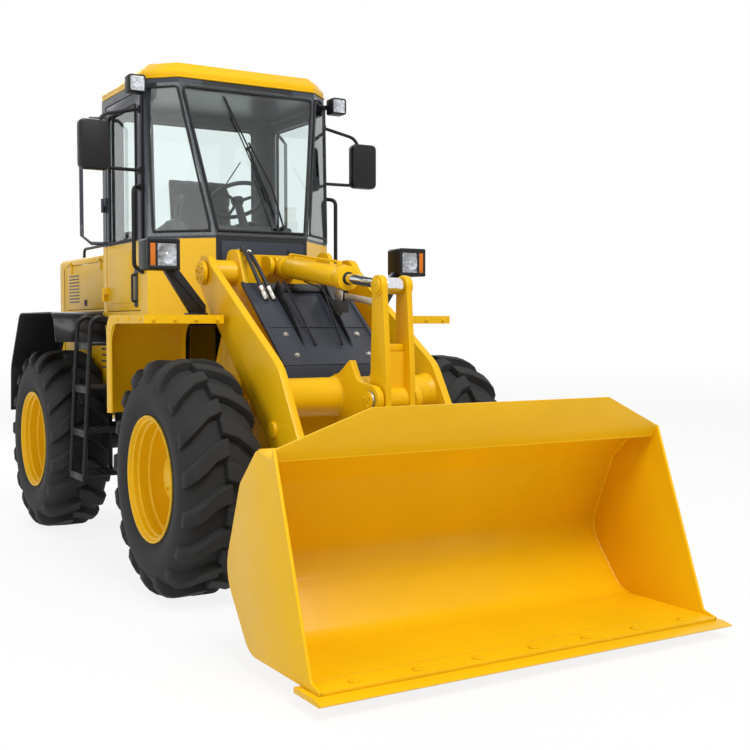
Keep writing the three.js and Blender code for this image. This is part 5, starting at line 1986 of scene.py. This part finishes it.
@dataclass
class Seat:
    """A sprung driver's seat: two stuffed cloth pads on a frame with arm rests and bellows."""

    fill: float = 0.75
    voxel: float = 0.006
    swell: float = 0.014

    def stuffed(self, name: str, low: Point, high: Point, lean: float, turn: float) -> Piece:
        """A pad swollen by cloth simulation out of a rounded block.

        Args:
            name: the pad's name.
            low: the lowest corner of the space that it may fill.
            high: its highest corner.
            lean: how far its top leans back, for a back rest.
            turn: the radius of its corners, seen along its thickness.

        Returns:
            The pad.
        """
        start = [value + self.swell for value in low]
        end = [value - self.swell for value in high]
        flat, thick = (2, 1) if lean else (1, 2)
        outline = rectangle(start[0], start[flat], end[0], end[flat], turn)
        pad = plate(name, outline, (start[thick], end[thick]), Axis.Y if lean else Axis.Z, 0.028)
        change(pad, "REMESH", mode="VOXEL", voxel_size=self.voxel)
        rest = [vertex.co.copy() for vertex in pad.data.vertices]
        only(pad)
        cloth = pad.modifiers.new("cloth", "CLOTH")
        cloth.settings.use_pressure = True
        cloth.settings.uniform_pressure_force = 4.0
        cloth.settings.effector_weights.gravity = 0.0
        cloth.settings.quality = 4
        for frame in range(1, 16):
            bpy.context.scene.frame_set(frame)
        bpy.ops.object.modifier_apply(modifier=cloth.name)
        bpy.context.scene.frame_set(1)
        for vertex, home in zip(pad.data.vertices, rest):
            step = vertex.co - home
            if step.length > self.swell:
                vertex.co = home + step.normalized() * self.swell
        tall = high[2] - low[2]
        for vertex in pad.data.vertices:
            if lean:
                vertex.co.y += lean * (vertex.co.z - low[2]) / tall
        change(pad, "SUBSURF", levels=1, render_levels=1)
        return pad

    def channels(
        self, name: str, pad: Piece, lines: Sequence[Callable[[Vector], float]], depth: float
    ) -> None:
        """Sink sewn channels into a pad.

        Args:
            name: what the log calls them.
            pad: the pad.
            lines: functions that give a point's distance from each channel.
            depth: how far a channel sinks.
        """
        centre = sum((vertex.co for vertex in pad.data.vertices), Vector()) / len(pad.data.vertices)
        for vertex in pad.data.vertices:
            pull = sum(math.exp(-((line(vertex.co) / 0.012) ** 2)) for line in lines)
            inward = (centre - vertex.co).normalized()
            vertex.co += inward * depth * min(pull, 1.0)
        log.info("%s: %d channels", name, len(lines))

    def build(self) -> None:
        """Make the seat."""
        low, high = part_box("seat_cushion")
        cushion = self.stuffed("seat_cushion_pad", tuple(low), tuple(high), 0.0, 0.06)
        self.channels(
            "cushion", cushion, [lambda p: p.x - 0.13, lambda p: p.x + 0.13, lambda p: p.y - 0.62], 0.009
        )
        dressed(cushion, Finish.CLOTH, "rear_body", "seat_cushion")
        low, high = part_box("seat_backrest")
        back = self.stuffed("seat_back_pad", tuple(low), (high[0], low[1] + 0.11, high[2]), 0.072, 0.11)
        self.channels(
            "back rest", back, [lambda p: p.x - 0.12, lambda p: p.x + 0.12, lambda p: p.z - 2.42], 0.009
        )
        dressed(back, Finish.CLOTH, "rear_body", "seat_backrest")
        pan = [
            plate(
                "seat_pan", [(0.47, 1.995), (0.98, 1.995), (0.98, 2.03, 0.01), (0.47, 2.02, 0.01)],
                (-0.25, 0.25), Axis.X, 0.004,
            ),
            plate(
                "seat_shell", [(1.03, 2.06), (1.065, 2.06), (1.14, 2.60, 0.02), (1.105, 2.61, 0.01)],
                (-0.22, 0.22), Axis.X, 0.008,
            ),
        ]
        for side, x in SIDES:
            pan += [
                pipe(
                    f"arm_rest_stay_{side}",
                    [(x * 0.235, 1.05, 2.25), (x * 0.268, 1.03, 2.26), (x * 0.268, 0.97, 2.27)], 0.011,
                    0.02,
                ),
                block(f"arm_rest_{side}", (x * 0.242, 0.66, 2.255), (x * 0.3, 1.0, 2.295), 0.014, 4),
            ]
        for i in range(5):
            z = 1.70 + i * 0.055
            pan.append(block(f"bellows_{i}", (-0.215, 0.53, z), (0.215, 0.91, z + 0.04), 0.014, 3))
        dressed(merged("seat_frame", pan), Finish.VINYL, "rear_body")
        belt = block("belt_buckle", (0.215, 0.84, 2.06), (0.245, 0.87, 2.17), 0.006, 3)
        dressed(belt, Finish.PLASTIC, "rear_body")


# ---------------------------------------------------------------- rear half


@dataclass
class Hood:
    """The engine hood's vents, latches, exhaust, air cleaner, grille and tail lights."""

    top: float = 2.08
    stack: tuple[float, float] = (0.33, 1.5)
    cleaner: tuple[float, float] = (-0.33, 1.5)

    def vents(self) -> None:
        """Rows of pressed louvres on the sides and the top."""
        louvres = []
        for column, y in enumerate((1.36, 1.44, 1.52)):
            for row in range(7):
                z = 1.22 + row * 0.045
                louvres.append(
                    block(
                        f"louvre_{column}_{row}", (0.5995, y - 0.03, z), (0.606, y + 0.03, z + 0.014),
                        0.003, 1,
                    ),
                )
        both_sides(merged("side_louvres_left", louvres), Finish.SLATE, "rear_body")
        seams = [
            block("hood_seam_low", (0.598, 1.31, 1.635), (0.6025, 2.68, 1.645), 0.001, 1),
            block("hood_seam_rear", (0.598, 2.555, 1.12), (0.6025, 2.562, 2.0), 0.001, 1),
        ]
        both_sides(merged("hood_seams_left", seams), Finish.SEAL, "rear_body")
        top = [
            block(
                f"top_slot_{i}", (-0.2, 1.7 + i * 0.05, 2.0795), (0.2, 1.718 + i * 0.05, 2.083), 0.0015, 1
            )
            for i in range(8)
        ]
        dressed(merged("top_slots", top), Finish.SLATE, "rear_body")
        door = []
        for row in range(9):
            z = 1.72 + row * 0.026
            door.append(block(f"door_slot_{row}", (0.5995, 2.14, z), (0.6035, 2.42, z + 0.01), 0.0015, 1))
        both_sides(merged("door_slots_left", door), Finish.SLATE, "hood_door_left")
        latch = [
            block("latch_plate", (0.5995, 1.93, 1.69), (0.606, 1.99, 1.74), 0.004, 3),
            rod("latch_ring", (0.604, 1.96, 1.715), (0.611, 1.96, 1.715), 0.014, 24, 0.002),
        ]
        both_sides(merged("hood_latch_left", latch), Finish.PLASTIC, "hood_door_left")

    def stacks(self) -> None:
        """The exhaust with its slotted shield, and the air cleaner's cap."""
        x, y = self.stack
        z = self.top
        shield = spun("exhaust_shield", rectangle(0.047, 0.02, 0.056, 0.3), (x, y, z), 40, Axis.Z)
        slots = [
            block(
                f"shield_slot_{i}", (x - 0.006, y - 0.058, z + 0.06 + i * 0.045),
                (x + 0.006, y - 0.0545, z + 0.09 + i * 0.045), 0.001, 1,
            )
            for i in range(5)
        ]
        bands = [
            rod(f"shield_band_{i}", (x, y, z + h), (x, y, z + h + 0.012), 0.059, 40, 0.002)
            for i, h in enumerate((0.04, 0.26))
        ]
        tip = spun(
            "exhaust_tip", [(0.039, 0.4), (0.0485, 0.4), (0.0485, 0.419), (0.039, 0.4195)], (x, y, z), 40,
            Axis.Z,
        )
        foot = spun(
            "exhaust_foot", [(0.045, 0.0), (0.075, 0.0), (0.075, 0.006), (0.05, 0.014), (0.045, 0.014)],
            (x, y, z), 40, Axis.Z,
        )
        dressed(merged("exhaust", [shield, *slots, *bands, tip, foot]), Finish.BLACK, "rear_body")
        x, y = self.cleaner
        cap = spun(
            "cleaner_cap",
            [
                (0.001, 0.162), (0.06, 0.17), (0.095, 0.16), (0.1, 0.14), (0.1, 0.1), (0.092, 0.095),
                (0.092, 0.14), (0.001, 0.155),
            ],
            (x, y, z), 48, Axis.Z,
        )
        neck = [
            spun(f"cleaner_ring_{i}", rectangle(0.079, h, 0.086, h + 0.014), (x, y, z), 40, Axis.Z)
            for i, h in enumerate((0.01, 0.06))
        ]
        dressed(merged("air_cleaner", [cap, *neck]), Finish.BLACK, "rear_body")

    def rear(self) -> None:
        """The grille's mesh and handle, tail lights, tow pin, weight bolts and hood rails."""
        bars = [
            block(f"mesh_{i}", (-0.5 + i * 0.05, 2.70, 1.55), (-0.496 + i * 0.05, 2.706, 2.02), 0.001, 1)
            for i in range(21)
        ]
        dressed(merged("grille_mesh", bars), Finish.BLACK, "rear_grille")
        handle = pipe(
            "grille_handle",
            [(0.55, 2.718, 1.7), (0.55, 2.745, 1.7), (0.55, 2.745, 1.82), (0.55, 2.718, 1.82)], 0.007,
            0.015,
        )
        dressed(handle, Finish.PLASTIC, "rear_grille")
        case = block("tail_case_left", (0.42, 2.925, 1.385), (0.65, 2.977, 1.487), 0.008, 3)
        both_sides(case, Finish.BLACK, "rear_body")
        for colour, x0, finish in (("red", 0.54, Finish.RED), ("amber", 0.435, Finish.AMBER)):
            lens = block(f"tail_{colour}_left", (x0, 2.97, 1.4), (x0 + 0.095, 2.9792, 1.474), 0.004, 3)
            both_sides(lens, finish, "rear_body")
        hitch = [
            block("hitch_top", (-0.09, 2.88, 0.86), (0.09, 2.979, 0.885), 0.004),
            block("hitch_low", (-0.09, 2.88, 0.74), (0.09, 2.96, 0.765), 0.004),
            rod("hitch_pin", (0, 2.945, 0.72), (0, 2.945, 0.92), 0.017, 24, 0.003),
            pipe("hitch_grip", [(0, 2.945, 0.915), (0, 2.945, 0.95), (0.05, 2.945, 0.95)], 0.008, 0.02),
        ]
        dressed(merged("tow_hitch", hitch), Finish.BLACK, "rear_body")
        spots = [(x, 2.972, z) for x in (-0.5, 0.5) for z in (1.0, 1.3)]
        dressed(bolts("weight_bolts", spots, (0, 1, 0), 0.014), Finish.ZINC, "rear_body")
        rails = [
            pipe(
                f"hood_rail_{side}",
                [
                    (x * 0.45, 1.75, 2.075), (x * 0.45, 1.75, 2.17), (x * 0.45, 2.5, 2.17),
                    (x * 0.45, 2.5, 2.075),
                ],
                0.012, 0.05,
            )
            for side, x in SIDES
        ]
        dressed(merged("hood_rails", rails), Finish.BLACK, "rear_body")

    def build(self) -> None:
        """Make the hood's trim."""
        self.vents()
        self.stacks()
        self.rear()


@dataclass
class Steps:
    """The cab steps: rolled treads with punched grips between bent rails."""

    levels: tuple[float, ...] = (0.5, 0.8, 1.1, 1.4)

    def build(self) -> None:
        """Make the left steps and their mirror image."""
        parts = []
        for i, z in enumerate(self.levels):
            out = 0.985 - i * 0.02
            parts.append(block(f"tread_{i}", (0.6703, 0.782, z), (out, 1.098, z + 0.02), 0.004))
            for row in range(4):
                for column in range(7):
                    x, y = 0.74 + row * 0.06, 0.82 + column * 0.04
                    parts.append(rod("grip", (x, y, z + 0.019), (x, y, z + 0.0245), 0.009, 8, 0.0, 0.006))
            parts.append(
                block(f"lip_{i}", (out - 0.012, 0.782, z - 0.03), (out - 0.002, 1.098, z + 0.018), 0.003)
            )
        for y in (0.781, 1.099):
            parts.append(block("rail_plate", (0.672, y - 0.006, 0.5), (0.7, y + 0.006, 1.56), 0.002))
            route = [(0.97, y, 0.505), (0.95, y, 0.9), (0.915, y, 1.56), (0.86, y, 1.6), (0.69, y, 1.548)]
            parts.append(pipe("rail", route, 0.0155, 0.08, 6))
        parts.append(block("backing", (0.6553, 0.775, 1.38), (0.684, 1.105, 1.52), 0.003))
        both_sides(merged("steps_looks_left", parts), Finish.BLACK, "rear_body", "steps_left")
        tank = [
            plate("tank_strap_a", rectangle(0.64, 0.757, 0.657, 1.532), (0.7, 0.73), Axis.Y, 0.002),
            rod("filler_neck", (0.53, 0.72, 1.528), (0.53, 0.72, 1.539), 0.045, 32, 0.003),
        ]
        both_sides(merged("tank_trim_left", tank), Finish.BLACK, "rear_body")


@dataclass
class Underside:
    """The drive shaft, the articulation's caps and the axle housings' bolts."""

    pivot_y: float = 0.56

    def build(self) -> None:
        """Make what shows from below and between the two halves."""
        shaft = [
            rod("shaft_tube", (0, 0.68, 0.675), (0, 1.50, 0.675), 0.042, 32, 0.003),
            rod("shaft_flange_a", (0, 1.50, 0.675), (0, 1.56, 0.675), 0.068, 32, 0.004),
            rod("shaft_flange_b", (0, 0.64, 0.675), (0, 0.68, 0.675), 0.06, 32, 0.004),
        ]
        dressed(merged("drive_shaft", shaft), Finish.IRON, "rear_body")
        caps = []
        for z in (1.075, 0.645):
            caps.append(
                rod("pivot_cap", (0, self.pivot_y, z), (0, self.pivot_y, z + 0.012), 0.062, 40, 0.003)
            )
            ring = [
                (0.042 * math.cos(a), self.pivot_y + 0.042 * math.sin(a), z + 0.012)
                for a in spread_angles(4)
            ]
            caps.append(bolts("pivot_bolts", ring, (0, 0, 1), 0.016))
        dressed(merged("pivot_caps", caps), Finish.IRON, "front_body")
        for place, y, body in (("front", -0.74, "front_body"), ("rear", 1.86, "rear_body")):
            heads = []
            for side, x in SIDES:
                circle = [
                    (x * 0.155, y + 0.125 * math.cos(a), 0.675 + 0.125 * math.sin(a))
                    for a in spread_angles(8)
                ]
                heads.append(bolts(f"axle_bolts_{side}", circle, (x, 0, 0), 0.02))
            dressed(merged(f"{place}_axle_bolts", heads), Finish.IRON, body)


# ---------------------------------------------------------------- frame, light and camera


NODE_FINISHES: dict[Finish, tuple[str, ...]] = {
    Finish.YELLOW: (
        "front_frame", "engine_hood", "counterweight", "cab_roof", "boom", "bell_crank", "bucket_link",
        "tilt_barrel", "front_fender_left", "front_fender_right", "hood_door_left", "hood_door_right",
        "lift_barrel_left", "lift_barrel_right",
    ),
    Finish.CAB: ("cab_shell",),
    Finish.DOOR: ("cab_door_left", "cab_door_right"),
    Finish.SLATE: ("front_cover", "rear_grille"),
    Finish.BLACK: (
        "rear_frame", "rear_fender_left", "rear_fender_right", "steering_barrel_left",
        "steering_barrel_right",
    ),
    Finish.IRON: ("front_axle", "rear_axle", "engine_block"),
    Finish.CHROME: (
        "lift_rod_left", "lift_rod_right", "steering_rod_left", "steering_rod_right", "tilt_rod"
    ),
    Finish.STEEL: ("crank_pin", "link_pin", "bucket_pin_left", "bucket_pin_right", "tilt_piston"),
    Finish.GLASS: ("windshield", "rear_window", "door_glass_left", "door_glass_right"),
}
PLAIN_EDGES = ("windshield", "rear_window", "door_glass_left", "door_glass_right", "tilt_piston")
EDGE_WIDTH = 0.003


def finish_frame(nodes: dict[str, Piece]) -> None:
    """Paint the CAD nodes that stay, and round their edges with live modifiers.

    Args:
        nodes: the frame's nodes.
    """
    for finish, names in NODE_FINISHES.items():
        for name in names:
            node = nodes[name]
            node.data.materials.clear()
            node.data.materials.append(finish.material())
            weld = node.modifiers.new("weld", "WELD")
            weld.merge_threshold = 0.00002
            for polygon in node.data.polygons:
                polygon.use_smooth = True
            if name not in PLAIN_EDGES:
                bevel = node.modifiers.new("edges", "BEVEL")
                bevel.width = EDGE_WIDTH
                bevel.segments = 2
                bevel.limit_method = "ANGLE"
                bevel.angle_limit = math.radians(38)
            split = node.modifiers.new("split", "EDGE_SPLIT")
            split.split_angle = SMOOTH


def floor_finish(level: float, far: float) -> bpy.types.Material:
    """The floor's pale paint, which looks whiter to the camera than to the machine.

    Args:
        level: how much of plain white the camera sees at the floor's middle.
        far: the distance from the middle at which it sees nothing else.

    Returns:
        The material.
    """
    paint = Shader("floor_paint")
    paint.paint(paint.ramp(paint.noise(0.3, 1), (0.84, 0.84, 0.84), (0.86, 0.86, 0.86)))
    paint.set(Roughness=0.9)
    distance = paint.node("VectorMath", operation="LENGTH")
    paint.link(paint.place(), distance.inputs[0])
    fade = paint.node("MapRange", interpolation_type="SMOOTHSTEP")
    for socket, value in (("From Min", far / 6), ("From Max", far), ("To Min", level)):
        fade.inputs[socket].default_value = value
    paint.link(distance.outputs["Value"], fade.inputs["Value"])
    part = paint.math("MULTIPLY", paint.seen(), fade.outputs["Result"])
    white = paint.node("Emission").outputs["Emission"]
    mixed = paint.mixed(part, paint.surface.outputs["BSDF"], white)
    paint.link(mixed, paint.tree.nodes["Material Output"].inputs["Surface"])
    return paint.material


def set_world() -> None:
    """The soft light from all round, and the white that is seen in its place."""
    world = bpy.data.worlds.new("studio")
    world.use_nodes = True
    bpy.context.scene.world = world
    sky = Nodes(world.node_tree)
    soft = sky.tree.nodes["Background"]
    bright = sky.node("Background")
    for shown, colour, strength in ((soft, (0.95, 0.97, 1.0), 0.5), (bright, (1.0, 1.0, 1.0), 1.0)):
        sky.fill(shown.inputs["Color"], colour)
        shown.inputs["Strength"].default_value = strength
    mixed = sky.mixed(sky.seen(), soft.outputs["Background"], bright.outputs["Background"])
    sky.link(mixed, sky.tree.nodes["World Output"].inputs["Surface"])


def set_stage() -> None:
    """The pale floor and the soft studio light."""
    begin()
    bpy.ops.mesh.primitive_plane_add(size=120, location=(0, 0, 0))
    floor = settle("studio_floor")
    floor.data.materials.append(floor_finish(0.86, 36.0))
    set_world()
    lamps = (
        ("key", (-0.5, -8.0, 10.5), 4.5, 980.0),
        ("fill", (-9.0, -2.5, 5.0), 6.0, 150.0),
        ("back", (1.0, 8.0, 7.0), 5.0, 380.0),
    )
    for name, place, size, power in lamps:
        begin()
        bpy.ops.object.light_add(type="AREA", location=place)
        lamp = bpy.context.object
        lamp.name = f"{name}_light"
        lamp.data.size = size
        lamp.data.energy = power
        lamp.rotation_euler = (Vector((0, 0, 1.3)) - Vector(place)).to_track_quat("-Z", "Y").to_euler()
    bpy.context.scene.view_settings.view_transform = "Standard"


def set_camera() -> None:
    """The camera, low before the machine's right corner."""
    begin()
    bpy.ops.object.camera_add(location=(-3.154, -6.738, 1.542))
    camera = bpy.context.object
    camera.rotation_euler = Vector((0.513, 0.858, -0.045)).to_track_quat("-Z", "Y").to_euler()
    camera.data.sensor_width = 36.0
    camera.data.lens = 53.5
    bpy.context.scene.camera = camera


def main() -> None:
    """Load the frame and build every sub-assembly."""
    logging.basicConfig(level=logging.INFO, format="%(message)s")
    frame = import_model()
    set_camera()
    set_stage()
    finish_frame(frame["nodes"])
    Wheel().build()
    Bucket().build()
    Arms().build()
    build_cylinders()
    build_positioner()
    FrontCover().build()
    Headlight().build()
    FrontFenders().build()
    Cab().build()
    Seat().build()
    Hood().build()
    Steps().build()
    Underside().build()


if __name__ == "__main__":
    main()
